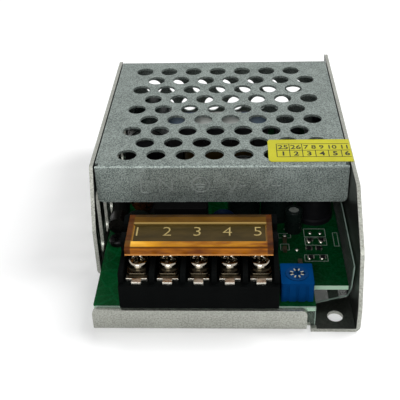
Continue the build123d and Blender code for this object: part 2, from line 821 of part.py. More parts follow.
with BuildPart() as core_tape:
    with BuildSketch(Plane.XZ.offset(-transformer_y - core_tape_width / 2)):
        with Locations((transformer_x, core_middle)):
            Rectangle(core_length + 2 * core_tape_thickness, core_height + 2 * core_tape_thickness)
            Rectangle(core_length, core_height, mode=Mode.SUBTRACT)
    extrude(amount=core_tape_width)
save(core_tape.part, "core_tape")

with BuildPart() as transformer_label:
    with BuildSketch(Plane.XY.offset(core_top + core_tape_thickness)):
        with Locations((transformer_x, transformer_y)):
            Rectangle(label_length, core_tape_width)
    extrude(amount=label_thickness)
save(transformer_label.part, "transformer_label")


def capacitor_can(base, diameter, height):
    """Makes a capacitor's metal can with a vent cross in its end, standing on a plane."""
    with BuildPart() as can:
        with BuildSketch(base):
            Circle(diameter / 2)
        extrude(amount=height)
        fillet(can.faces().sort_by(Axis(base.origin, base.z_dir))[-1].edges(), sleeve_thickness)
        with BuildSketch(base.offset(height)):
            Rectangle(diameter * vent_share, vent_width)
            Rectangle(vent_width, diameter * vent_share)
        extrude(amount=-sleeve_thickness, mode=Mode.SUBTRACT)
    return can.part


def capacitor_sleeve(base, diameter, height):
    """Makes the shrunk sleeve round a can, turned over its end."""
    with BuildPart() as sleeve:
        with BuildSketch(base):
            Circle(diameter / 2 + sleeve_thickness)
        extrude(amount=height + sleeve_thickness)
        fillet(sleeve.faces().sort_by(Axis(base.origin, base.z_dir))[-1].edges(),
               sleeve_thickness * sleeve_rounding)
        with BuildSketch(base):
            Circle(diameter / 2)
        extrude(amount=height, mode=Mode.SUBTRACT)
        with BuildSketch(base):
            Circle(diameter / 2 - sleeve_turnover)
        extrude(amount=height + sleeve_thickness, mode=Mode.SUBTRACT)
    return sleeve.part


for number, (x, y) in enumerate(output_spots, start=1):
    foot = Plane(origin=(x, y, board_top), z_dir=(0, 0, 1))
    save(capacitor_can(foot, output_diameter, output_height), "output_capacitor_can_" + str(number))
    save(capacitor_sleeve(foot, output_diameter, output_height), "output_capacitor_sleeve_" + str(number))

auxiliary_foot = Plane(origin=(auxiliary_spot[0], auxiliary_spot[1], board_top), z_dir=(0, 0, 1))
save(capacitor_can(auxiliary_foot, auxiliary_diameter, auxiliary_height), "auxiliary_capacitor_can")
save(capacitor_sleeve(auxiliary_foot, auxiliary_diameter, auxiliary_height), "auxiliary_capacitor_sleeve")

# Bulk capacitor: it lies along the board with its two leads bent down at the front
bulk_z = board_top + bulk_diameter / 2 + sleeve_thickness
bulk_base = Plane(origin=(bulk_x, bulk_front, bulk_z), z_dir=(0, 1, 0))
with BuildPart() as bulk_capacitor_can:
    add(capacitor_can(bulk_base, bulk_diameter, bulk_length))
    for side in (-1, 1):
        lead_x = bulk_x + side * bulk_lead_spread / 2
        with BuildSketch(Plane.YZ.offset(lead_x - lead_thickness / 2)):
            span(bulk_front - bulk_lead_reach, bulk_front - bulk_lead_reach + lead_thickness, board_top,
                 bulk_z + lead_thickness / 2)
            span(bulk_front - bulk_lead_reach, bulk_front, bulk_z - lead_thickness / 2,
                 bulk_z + lead_thickness / 2)
        extrude(amount=lead_thickness)
save(bulk_capacitor_can.part, "bulk_capacitor_can")
save(capacitor_sleeve(bulk_base, bulk_diameter, bulk_length), "bulk_capacitor_sleeve")

# Fuse: a tube held at both ends by metal caps that stand on the board
fuse_z = board_top + fuse_rise + fuse_cap_wall + fuse_diameter / 2
with BuildPart() as fuse_tube:
    with BuildSketch(Plane.XZ.offset(-fuse_front - fuse_cap_wall)):
        with Locations((fuse_x, fuse_z)):
            Circle(fuse_diameter / 2)
    extrude(amount=2 * fuse_cap_wall - fuse_length)
save(fuse_tube.part, "fuse_tube")

with BuildPart() as fuse_caps:
    for y in (fuse_front, fuse_front + fuse_length - fuse_cap_length):
        with BuildSketch(Plane.XZ.offset(-y)):
            with Locations((fuse_x, fuse_z)):
                Circle(fuse_diameter / 2 + fuse_cap_wall)
            span(fuse_x - fuse_diameter / 4, fuse_x + fuse_diameter / 4, board_top, fuse_z)
        extrude(amount=-fuse_cap_length)
    with BuildSketch(Plane.XZ.offset(-fuse_front - fuse_cap_wall)):
        with Locations((fuse_x, fuse_z)):
            Circle(fuse_diameter / 2)
    extrude(amount=2 * fuse_cap_wall - fuse_length, mode=Mode.SUBTRACT)
save(fuse_caps.part, "fuse_caps")


def dipped_disc(spot, diameter, thickness):
    """Makes a dipped disc that stands on two leads."""
    middle_z = board_top + lead_rise + diameter / 2
    with BuildPart() as disc:
        with BuildSketch(Plane.XZ.offset(-spot[1] - thickness / 2)):
            with Locations((spot[0], middle_z)):
                Circle(diameter / 2)
        extrude(amount=thickness)
        fillet(disc.edges().filter_by(GeomType.CIRCLE), thickness * disc_rounding)
        with BuildSketch(Plane.XY.offset(board_top)):
            with Locations((spot[0] - lead_spread / 2, spot[1]), (spot[0] + lead_spread / 2, spot[1])):
                Circle(lead_thickness / 2)
        extrude(amount=middle_z - board_top)
    return disc.part


save(dipped_disc(thermistor_spot, thermistor_diameter, thermistor_thickness), "thermistor")
save(dipped_disc(safety_spot, safety_diameter, safety_thickness), "safety_capacitor")

with BuildPart() as filter_capacitor:
    with BuildSketch(Plane.XY.offset(board_top)):
        with Locations(filter_box_spot):
            RectangleRounded(filter_box_size[0], filter_box_size[1], filter_box_corner)
    extrude(amount=filter_box_size[2])
    fillet(filter_capacitor.faces().sort_by(Axis.Z)[-1].edges(), filter_box_corner * 0.5)
save(filter_capacitor.part, "filter_capacitor")

# Choke: a standing ring with a winding on each side, carried by the winding's leads
choke_x, choke_y = choke_spot
choke_z = board_top + choke_base + choke_outer / 2
choke_plane = Plane.XZ.offset(-choke_y)
with BuildPart() as choke_core:
    with BuildSketch(choke_plane):
        with Locations((choke_x, choke_z)):
            Circle(choke_outer / 2)
            Circle(choke_inner / 2, mode=Mode.SUBTRACT)
    extrude(amount=choke_width / 2, both=True)
save(choke_core.part, "choke_core")

wedge_reach = choke_outer * 2
wedge_drop = wedge_reach * sin(radians(choke_winding_angle / 2))
wedge_out = wedge_reach * cos(radians(choke_winding_angle / 2))
winding_lead_x = choke_outer / 2 * cos(radians(choke_winding_angle / 2)) + lead_thickness
for number, side in enumerate((-1, 1), start=1):
    with BuildPart() as choke_wire:
        with BuildSketch(choke_plane):
            with Locations((choke_x, choke_z)):
                Circle(choke_outer / 2 + choke_winding)
                Circle(choke_inner / 2 - choke_winding, mode=Mode.SUBTRACT)
            with BuildLine():
                Polyline(
                    (choke_x, choke_z),
                    (choke_x + side * wedge_out, choke_z - wedge_drop),
                    (choke_x + side * wedge_reach, choke_z - wedge_drop),
                    (choke_x + side * wedge_reach, choke_z + wedge_drop),
                    (choke_x + side * wedge_out, choke_z + wedge_drop),
                    close=True,
                )
            make_face(mode=Mode.INTERSECT)
        extrude(amount=choke_width / 2 + choke_winding, both=True)
        with BuildSketch(Plane.XY.offset(board_top)):
            for way in (-1, 1):
                with Locations((choke_x + side * winding_lead_x,
                                choke_y + way * (choke_width + choke_winding) / 2)):
                    Circle(lead_thickness / 2)
        extrude(amount=choke_z - board_top - choke_inner / 2)
        with BuildSketch(choke_plane):
            with Locations((choke_x, choke_z)):
                Circle(choke_outer / 2)
                Circle(choke_inner / 2, mode=Mode.SUBTRACT)
        extrude(amount=choke_width / 2, both=True, mode=Mode.SUBTRACT)
    save(choke_wire.part, "choke_winding_" + str(number))

# Bridge rectifier: a flat moulded block with one cut corner, on four leads
with BuildPart() as bridge_rectifier:
    with BuildSketch(Plane.XZ.offset(-rectifier_spot[1] - rectifier_size[1] / 2)):
        span(rectifier_spot[0] - rectifier_size[0] / 2, rectifier_spot[0] + rectifier_size[0] / 2,
             board_top + rectifier_rise, board_top + rectifier_rise + rectifier_size[2])
        chamfer(vertices().group_by(Axis.Y)[-1].sort_by(Axis.X)[0], rectifier_corner)
    extrude(amount=rectifier_size[1])
    with BuildSketch(Plane.XY.offset(board_top)):
        with Locations([(rectifier_spot[0] + rectifier_lead_pitch * (i - 1.5), rectifier_spot[1])
                        for i in range(4)]):
            Circle(lead_thickness / 2)
    extrude(amount=rectifier_rise)
save(bridge_rectifier.part, "bridge_rectifier")

# Power packages that stand on their leads against a pad on the right wall
package_back = wall_inside - pad_thickness
package_base = board_top + package_rise


def power_package(y):
    """Makes one package: a metal tab with its hole, a moulded body and three leads."""
    with BuildPart() as package:
        with BuildSketch(Plane.YZ.offset(package_back - package_tab_thickness)):
            span(y - package_width / 2, y + package_width / 2, package_base, package_base + package_height)
            chamfer(vertices().group_by(Axis.Y)[-1], package_tab_thickness)
            with Locations((y, package_base + package_height - package_hole_drop)):
                Circle(package_hole_diameter / 2, mode=Mode.SUBTRACT)
        extrude(amount=package_tab_thickness)
        with BuildSketch(Plane.YZ.offset(package_back - package_thickness)):
            span(y - package_width / 2, y + package_width / 2, package_base,
                 package_base + package_body_height)
        extrude(amount=package_thickness)
        with BuildSketch(Plane.XY.offset(board_top)):
            with Locations([(package_back - package_thickness / 2, y + package_lead_pitch * i)
                            for i in (-1, 0, 1)]):
                Rectangle(leg_width, lead_thickness)
        extrude(amount=package_rise)
    return package.part


save(power_package(package_spots[0]), "output_diode")
save(power_package(package_spots[1]), "switch_transistor")

clamp_front = clamp_screw_spots[0] - clamp_end
clamp_rear = clamp_screw_spots[-1] + clamp_end
clamp_back = package_back - package_thickness
with BuildPart() as insulating_pad:
    with BuildSketch(Plane.YZ.offset(package_back)):
        span(package_spots[0] - package_width / 2 - pad_margin,
             package_spots[1] + package_width / 2 + pad_margin,
             package_base - pad_margin, package_base + package_height + pad_margin)
        with Locations((clamp_screw_spots[1], clamp_z)):
            Circle(screw_hole / 2, mode=Mode.SUBTRACT)
    extrude(amount=pad_thickness)
save(insulating_pad.part, "insulating_pad")

# Clamp bar: one folded strip that presses both packages against the wall
with BuildPart() as transistor_clamp:
    with BuildSketch(Plane.YZ.offset(clamp_back - clamp_thickness)):
        span(clamp_front, clamp_rear, clamp_z - clamp_height / 2, clamp_z + clamp_height / 2)
        with Locations([(y, clamp_z) for y in clamp_screw_spots]):
            Circle(cover_screw_diameter / 2 + screw_fit, mode=Mode.SUBTRACT)
    extrude(amount=clamp_thickness)
    with BuildSketch(Plane.XY.offset(clamp_z + clamp_height / 2)):
        span(clamp_back - clamp_fold - clamp_thickness, clamp_back, clamp_front, clamp_rear)
    extrude(amount=-clamp_thickness)
    fillet(transistor_clamp.edges().filter_by(Axis.Y).group_by(Axis.Z)[-1].sort_by(Axis.X)[-1],
           clamp_thickness * clamp_rounding)
save(transistor_clamp.part, "transistor_clamp")

with BuildPart() as clamp_screws:
    for plane in clamp_screw_planes:
        add(countersunk_screw(plane, cover_screw_diameter, cover_screw_head, clamp_screw_length))
save(clamp_screws.part, "clamp_screws")

# Output inductor: a drum with two flanges and a sleeved winding between them
with BuildPart() as output_inductor:
    with BuildSketch(Plane.XZ.offset(-inductor_spot[1])):
        with BuildLine():
            Polyline(
                (inductor_spot[0], board_top),
                (inductor_spot[0] + inductor_diameter / 2, board_top),
                (inductor_spot[0] + inductor_diameter / 2, board_top + inductor_flange),
                (inductor_spot[0] + inductor_diameter / 2 - inductor_waist,
                 board_top + inductor_flange * 1.3),
                (inductor_spot[0] + inductor_diameter / 2 - inductor_waist,
                 board_top + inductor_height - inductor_flange * 1.3),
                (inductor_spot[0] + inductor_diameter / 2, board_top + inductor_height - inductor_flange),
                (inductor_spot[0] + inductor_diameter / 2, board_top + inductor_height),
                (inductor_spot[0], board_top + inductor_height),
                close=True,
            )
        make_face()
    revolve(axis=Axis((inductor_spot[0], inductor_spot[1], 0), (0, 0, 1)))
save(output_inductor.part, "output_inductor")


def moulded_circuit(spot, size, leg_count):
    """Makes a moulded circuit with a row of bent legs on its front and rear."""
    length, depth, height = size
    with BuildPart() as circuit:
        with BuildSketch(Plane.XY.offset(board_top + leg_rise)):
            with Locations(spot):
                Rectangle(length, depth)
        extrude(amount=height - leg_rise)
        chamfer(circuit.faces().sort_by(Axis.Z)[-1].edges(), leg_thickness)
        leg_top = board_top + height / 2
        for i in range(leg_count):
            leg_x = spot[0] + leg_pitch * (i - (leg_count - 1) / 2)
            with BuildSketch(Plane.YZ.offset(leg_x - leg_width / 2)):
                for side in (-1, 1):
                    root = spot[1] + side * depth / 2
                    tip = root + side * leg_reach
                    inner = tip - side * leg_thickness
                    span(min(root, tip), max(root, tip), leg_top - leg_thickness, leg_top)
                    span(min(inner, tip), max(inner, tip), board_top, leg_top)
            extrude(amount=leg_width)
    return circuit.part


save(moulded_circuit(coupler_spot, coupler_size, 2), "optocoupler")
save(moulded_circuit(circuit_spot, circuit_size, 4), "control_circuit")

# Small parts soldered flat on the board
with BuildPart() as chip_resistors:
    with BuildSketch(Plane.XY.offset(board_top)):
        with Locations(resistor_spots):
            Rectangle(chip_size[0], chip_size[1])
    extrude(amount=chip_size[2])
save(chip_resistors.part, "chip_resistors")

with BuildPart() as chip_capacitors:
    with BuildSketch(Plane.XY.offset(board_top)):
        with Locations(chip_capacitor_spots):
            Rectangle(chip_size[1], chip_size[0])
    extrude(amount=2 * chip_size[2])
save(chip_capacitors.part, "chip_capacitors")

# Resistors that lie along the board on bent leads
resistor_z = board_top + resistor_rise + resistor_end_diameter / 2
with BuildPart() as axial_resistors:
    for x, y in axial_resistor_spots:
        body_left = x - resistor_length / 2
        with BuildSketch(Plane.YZ.offset(body_left)):
            with Locations((y, resistor_z)):
                Circle(resistor_diameter / 2)
        extrude(amount=resistor_length)
        for end_left in (body_left, body_left + resistor_length - resistor_end_length):
            with BuildSketch(Plane.YZ.offset(end_left)):
                with Locations((y, resistor_z)):
                    Circle(resistor_end_diameter / 2)
            extrude(amount=resistor_end_length)
        with BuildSketch(Plane.YZ.offset(body_left - resistor_lead_reach)):
            with Locations((y, resistor_z)):
                Circle(lead_thickness / 2)
        extrude(amount=resistor_length + 2 * resistor_lead_reach)
        with BuildSketch(Plane.XY.offset(board_top)):
            lead_middle = resistor_length / 2 + resistor_lead_reach - lead_thickness / 2
            with Locations((x - lead_middle, y), (x + lead_middle, y)):
                Circle(lead_thickness / 2)
        extrude(amount=resistor_z - board_top)
save(axial_resistors.part, "axial_resistors")
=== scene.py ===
"""Looks for an enclosed power supply with a perforated cover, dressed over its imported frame."""

import logging
import math
from dataclasses import dataclass
from enum import Enum
from functools import cache
from typing import Sequence

import bmesh
import bpy
import numpy as np
from mathutils import Matrix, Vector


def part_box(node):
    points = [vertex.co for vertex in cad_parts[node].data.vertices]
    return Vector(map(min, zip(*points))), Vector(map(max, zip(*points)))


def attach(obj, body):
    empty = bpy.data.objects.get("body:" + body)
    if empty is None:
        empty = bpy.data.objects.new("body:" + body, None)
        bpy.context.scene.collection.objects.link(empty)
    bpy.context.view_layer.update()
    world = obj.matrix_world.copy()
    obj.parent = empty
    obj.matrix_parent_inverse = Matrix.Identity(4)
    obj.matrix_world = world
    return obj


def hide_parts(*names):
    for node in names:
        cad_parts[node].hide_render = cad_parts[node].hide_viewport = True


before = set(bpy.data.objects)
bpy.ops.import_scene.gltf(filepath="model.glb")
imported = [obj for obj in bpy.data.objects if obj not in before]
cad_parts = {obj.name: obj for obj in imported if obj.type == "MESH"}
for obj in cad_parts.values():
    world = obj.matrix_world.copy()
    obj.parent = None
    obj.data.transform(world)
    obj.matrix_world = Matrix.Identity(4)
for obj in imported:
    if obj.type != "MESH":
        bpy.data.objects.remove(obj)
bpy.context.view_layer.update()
MM = 0.001
BASE = "base"
FLAP = "terminal_flap"
KNOB = "trimmer_knob"
UP = (0, 0, 1)
FULL_TURN = 2 * math.pi
# The range in which a noise pattern mostly lies
LOW, HIGH = 0.3, 0.7
log = logging.getLogger("power_supply")

Colour = tuple[float, float, float]
Material = bpy.types.Material
Piece = bpy.types.Object
Points = Sequence[Sequence[float]]
Socket = bpy.types.NodeSocket


# ---- shapes ----


def placed(name: str, data: bpy.types.ID) -> Piece:
    """Makes an object at the origin and links it to the scene.

    Args:
        name: its name.
        data: its mesh, curve, camera or lamp.

    Returns:
        The object.
    """
    new = bpy.data.objects.new(name, data)
    bpy.context.scene.collection.objects.link(new)
    return new


def merged(places: np.ndarray, steps_per_metre: float) -> tuple[np.ndarray, np.ndarray]:
    """Gives the points without those that share a place, and for each old point its new number."""
    _, first, back = np.unique(np.round(places * steps_per_metre).astype(np.int64), axis=0,
                               return_index=True, return_inverse=True)
    return places[first], back.reshape(-1)


def solid_from(name: str, places: np.ndarray, faces: list, sharp_deg: float) -> Piece:
    """Makes an object whose faces turn outwards and whose steep edges are sharp.

    Args:
        name: its name.
        places: points x 3, in metres.
        faces: lists of point numbers.
        sharp_deg: the angle from which an edge is sharp.

    Returns:
        The object.
    """
    mesh = bpy.data.meshes.new(name)
    mesh.from_pydata(places.tolist(), [], faces)
    body = placed(name, mesh)
    work = bmesh.new()
    work.from_mesh(mesh)
    bmesh.ops.recalc_face_normals(work, faces=work.faces)
    work.to_mesh(mesh)
    work.free()
    mesh.polygons.foreach_set("use_smooth", np.ones(len(mesh.polygons), dtype=bool))
    mesh.set_sharp_from_angle(angle=math.radians(sharp_deg))
    return body


def carried(profile: Points, path: Points, up: Sequence[float], closed: bool) -> np.ndarray:
    """Carries a closed profile along a path: point = path + a * side + b * up, with side = along x up.

    Args:
        profile: pairs (a, b) in millimetres.
        path: its points; at a corner the side is widened, at most by 1 / least_sine.
        up: the direction of b, at right angles to the path.
        closed: the path is a loop.

    Returns:
        Path points x profile points x 3.
    """
    least_sine = 0.4
    line = np.array(path, float)
    if closed:
        ahead, behind = np.roll(line, -1, axis=0) - line, line - np.roll(line, 1, axis=0)
    else:
        steps = np.diff(line, axis=0)
        ahead, behind = np.vstack([steps, steps[-1:]]), np.vstack([steps[:1], steps])
    ahead = ahead / np.linalg.norm(ahead, axis=1, keepdims=True)
    behind = behind / np.linalg.norm(behind, axis=1, keepdims=True)
    lift = np.array(up, float)
    side = np.cross(ahead + behind, lift)
    side = side / np.linalg.norm(side, axis=1, keepdims=True)
    widen = 1 / np.clip(np.abs((np.cross(ahead, lift) * side).sum(axis=1)), least_sine, 1.0)
    shape = np.array(profile, float)
    rows = (line[:, None] + shape[None, :, :1] * (side * widen[:, None])[:, None]
            + shape[None, :, 1:] * lift)
    if closed:
        return rows
    ends = [np.broadcast_to(rows[k].mean(axis=0), (1,) + rows.shape[1:]) for k in (0, -1)]
    return np.concatenate([ends[0], rows, ends[1]])


def flat_bar(half_width: float, thickness: float) -> Points:
    """Gives the profile of a flat stroke with slanted edges, thickness high and sunk by half of that."""
    slope = min(half_width, thickness) * 0.45
    return [(-half_width, -thickness * 0.5), (half_width, -thickness * 0.5),
            (half_width, thickness - slope), (half_width - slope, thickness),
            (slope - half_width, thickness), (-half_width, thickness - slope)]


def four_sided(half_a: float, half_b: float) -> Points:
    """Gives the four corners of a plain bar by half its size to the side and upwards."""
    return [(-half_a, -half_b), (half_a, -half_b), (half_a, half_b), (-half_a, half_b)]


def circle(count: int) -> np.ndarray:
    """Gives evenly spaced angles over a full turn."""
    return np.arange(count) * FULL_TURN / count


def lathe(profile: Points, centre: Sequence[float], count: int) -> np.ndarray:
    """Turns a profile of radius and height round an upright axis: (r cos a, r sin a, h), a over a full turn.

    Args:
        profile: pairs (r, h).
        centre: where the axis and height zero are.
        count: points round the axis.

    Returns:
        Profile points x count x 3.
    """
    shape = np.array(profile, float)
    turn = circle(count)
    height = np.repeat(shape[:, 1:], count, axis=1)
    across, beside = shape[:, :1] * np.cos(turn), shape[:, :1] * np.sin(turn)
    return np.stack([across, beside, height], axis=-1) + np.array(centre, float)


def block(low: Sequence[float], high: Sequence[float], round_mm: float, steps: int) -> np.ndarray:
    """Works out a box with round edges: the points of a small sphere, each pushed into its corner of the box.

    Args:
        low: the lowest corner.
        high: the highest corner.
        round_mm: radius of all edges.
        steps: faces along a quarter turn.

    Returns:
        Rows x columns x 3; the first and last rows are the ends' middles.
    """
    lowest, highest = np.array(low, float), np.array(high, float)
    middle, core = (lowest + highest) / 2, (highest - lowest) / 2 - round_mm
    quarter = np.linspace(0, math.pi / 2, steps + 1)
    rise = np.concatenate([quarter - math.pi / 2, quarter])
    turn = np.concatenate([quarter + k * math.pi / 2 for k in range(4)])
    signs = [np.repeat(pattern, steps + 1) for pattern in ((1, -1, -1, 1), (1, 1, -1, -1), (-1, 1))]
    level, around = np.meshgrid(rise, turn, indexing="ij")
    x = middle[0] + signs[0] * core[0] + round_mm * np.cos(level) * np.cos(around)
    y = middle[1] + signs[1] * core[1] + round_mm * np.cos(level) * np.sin(around)
    z = middle[2] + signs[2][:, None] * core[2] + round_mm * np.sin(level)
    ends = [np.broadcast_to([*middle[:2], height], (1, turn.size, 3)) for height in (lowest[2], highest[2])]
    return np.concatenate([ends[0], np.stack([x, y, z], axis=-1), ends[1]])


class Shell:
    """Collects grids of points in millimetres and turns them into one piece."""

    def __init__(self) -> None:
        """Starts with no points and no faces."""
        self.places: list[np.ndarray] = []
        self.quads: list[np.ndarray] = []
        self.total = 0

    def grid(self, points: np.ndarray, loop_rows: bool = False, loop_columns: bool = False) -> "Shell":
        """Adds a grid. Face (i, j) joins points (i, j), (i+1, j), (i+1, j+1) and (i, j+1).

        Args:
            points: rows x columns x 3.
            loop_rows: joins the last row to the first.
            loop_columns: joins the last column to the first.

        Returns:
            The shell.
        """
        rows, columns = points.shape[:2]
        index = np.arange(rows * columns).reshape(rows, columns) + self.total
        if loop_rows:
            index = np.vstack([index, index[:1]])
        if loop_columns:
            index = np.hstack([index, index[:, :1]])
        corners = [index[:-1, :-1], index[1:, :-1], index[1:, 1:], index[:-1, 1:]]
        self.quads.append(np.stack(corners, axis=-1).reshape(-1, 4))
        self.places.append(points.reshape(-1, 3))
        self.total += rows * columns
        return self

    def tube(self, points: np.ndarray) -> "Shell":
        """Adds a grid whose columns form a loop."""
        return self.grid(points, loop_columns=True)

    def stroke(self, profile: Points, path: Points, up: Sequence[float] = UP,
               closed: bool = False) -> "Shell":
        """Adds a closed profile carried along a path."""
        return self.grid(carried(profile, path, up, closed), closed, True)

    def piece(self, name: str, sharp_deg: float = 35.0) -> Piece:
        """Joins points that share a place, drops sides of no length and makes the object.

        Args:
            name: its name.
            sharp_deg: the angle from which an edge is sharp.

        Returns:
            The object.
        """
        places, numbers = merged(np.vstack(self.places) * MM, 1e7)
        quads = numbers[np.vstack(self.quads)]
        same = quads == np.roll(quads, -1, axis=1)
        fours = quads[same.sum(axis=1) == 0]
        fours = fours[(fours[:, 0] != fours[:, 2]) & (fours[:, 1] != fours[:, 3])]
        short = same.sum(axis=1) == 1
        threes = quads[short][~same[short]].reshape(-1, 3)
        return solid_from(name, places, fours.tolist() + threes.tolist(), sharp_deg)


def rounded(piece: Piece, width_mm: float, segments: int, angle_deg: float, harden: bool) -> None:
    """Rounds the steep edges of a piece.

    Args:
        piece: the piece.
        width_mm: width of the round.
        segments: faces across it.
        angle_deg: less steep edges stay.
        harden: flat faces keep their shading.
    """
    bevel = piece.modifiers.new("edge", "BEVEL")
    bevel.width = width_mm * MM
    bevel.segments = segments
    bevel.limit_method = "ANGLE"
    bevel.angle_limit = math.radians(angle_deg)
    bevel.harden_normals = harden


def node_copy(node: str, name: str, round_mm: float, segments: int = 2, smooth_deg: float = 40.0) -> Piece:
    """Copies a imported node, joins its loose triangles and rounds its edges.

    Args:
        node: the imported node, which the copy replaces.
        name: the copy's name.
        round_mm: width of the round.
        segments: faces across it.
        smooth_deg: the angle from which an edge is sharp.

    Returns:
        The copy.
    """
    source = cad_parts[node].data
    places = np.empty(len(source.vertices) * 3)
    source.vertices.foreach_get("co", places)
    corners = np.empty(len(source.loops), dtype=np.int64)
    source.loops.foreach_get("vertex_index", corners)
    points, numbers = merged(places.reshape(-1, 3), 1e6)
    threes = numbers[corners].reshape(-1, 3)
    whole = (threes != np.roll(threes, 1, axis=1)).all(axis=1)
    piece = solid_from(name, points, threes[whole].tolist(), smooth_deg)
    rounded(piece, round_mm, segments, 40.0, True)
    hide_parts(node)
    return piece


def printed(name: str, words: str, size: float, middle: Sequence[float], thickness: float,
            weight: float) -> Piece:
    """Makes thin flat lettering: point = middle + the letter's own place.

    Args:
        name: its name.
        words: generic digits.
        size: letter height.
        middle: where its middle is.
        thickness: its thickness.
        weight: how much its strokes are thickened.

    Returns:
        The lettering.
    """
    height_share = 0.7
    curve = bpy.data.curves.new(name, "FONT")
    curve.body = words
    curve.size = size * MM / height_share
    curve.align_x = "CENTER"
    curve.align_y = "CENTER"
    curve.extrude = thickness * MM / 2
    curve.offset = weight * MM
    curve.resolution_u = 3
    holder = placed(name, curve)
    mesh = bpy.data.meshes.new_from_object(holder)
    bpy.data.objects.remove(holder)
    places = np.empty(len(mesh.vertices) * 3)
    mesh.vertices.foreach_get("co", places)
    places = places.reshape(-1, 3)
    places[:, :2] -= (places[:, :2].min(axis=0) + places[:, :2].max(axis=0)) / 2
    mesh.vertices.foreach_set("co", (places + np.array(middle, float) * MM).ravel())
    mesh.update()
    return placed(name, mesh)


def seated(piece: Piece, material: Material, body: str = BASE) -> None:
    """Gives a piece its material and its body.

    Args:
        piece: the piece.
        material: what it wears.
        body: what carries it.
    """
    piece.data.materials.clear()
    piece.data.materials.append(material)
    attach(piece, body)
    log.info("piece %s on %s", piece.name, body)


def dress(nodes: Sequence[str], material: Material) -> None:
    """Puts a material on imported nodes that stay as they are.

    Args:
        nodes: their names.
        material: what they wear.
    """
    for node in nodes:
        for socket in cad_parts[node].material_slots:
            socket.material = material
        log.info("node %s wears %s", node, material.name)


# ---- finishes ----


class Streak(Enum):
    """The ways in which a fine pattern is drawn out, each a scale along X, Y and Z."""

    ALONG_X = (0.2, 1.0, 1.0)
    ALONG_Y = (1.0, 0.2, 1.0)
    FLOWED = (0.3, 1.0, 1.0)


class Nodes:
    """Short calls that add nodes to one tree."""

    def __init__(self, owner: bpy.types.ID, bare: bool = False) -> None:
        """Starts on a node tree.

        Args:
            owner: the material or the world.
            bare: empties the tree first.
        """
        owner.use_nodes = True
        self.tree = owner.node_tree
        if bare:
            self.tree.nodes.clear()

    def put(self, socket: Socket, value: object) -> None:
        """Links a socket to another, or sets its value.

        Args:
            socket: what receives.
            value: the other socket, or the value.
        """
        if isinstance(value, Socket):
            self.tree.links.new(value, socket)
        else:
            socket.default_value = value

    def node(self, kind: str, inputs: dict, **settings: object) -> bpy.types.Node:
        """Adds a node.

        Args:
            kind: its type.
            inputs: input name or number to a socket or a value.
            settings: its attributes.

        Returns:
            The node.
        """
        new = self.tree.nodes.new(kind)
        for key, value in settings.items():
            setattr(new, key, value)
        for key, value in inputs.items():
            self.put(new.inputs[key], value)
        return new

    def sum(self, action: str, first: object, second: object = 0.0, clamp: bool = False) -> Socket:
        """Combines two values by an action such as ADD or GREATER_THAN; clamp keeps the result in 0 to 1."""
        math_node = self.node("ShaderNodeMath", {0: first, 1: second}, operation=action, use_clamp=clamp)
        return math_node.outputs[0]

    def blend(self, share: Socket, first: bpy.types.Node, second: bpy.types.Node, out: str) -> None:
        """Mixes two plain shaders and feeds the tree's output.

        Args:
            share: how much of the second is seen.
            first: the first shader.
            second: the second shader.
            out: the output's type.
        """
        mix = self.node("ShaderNodeMixShader", {0: share, 1: first.outputs[0], 2: second.outputs[0]})
        self.node(out, {0: mix.outputs[0]})


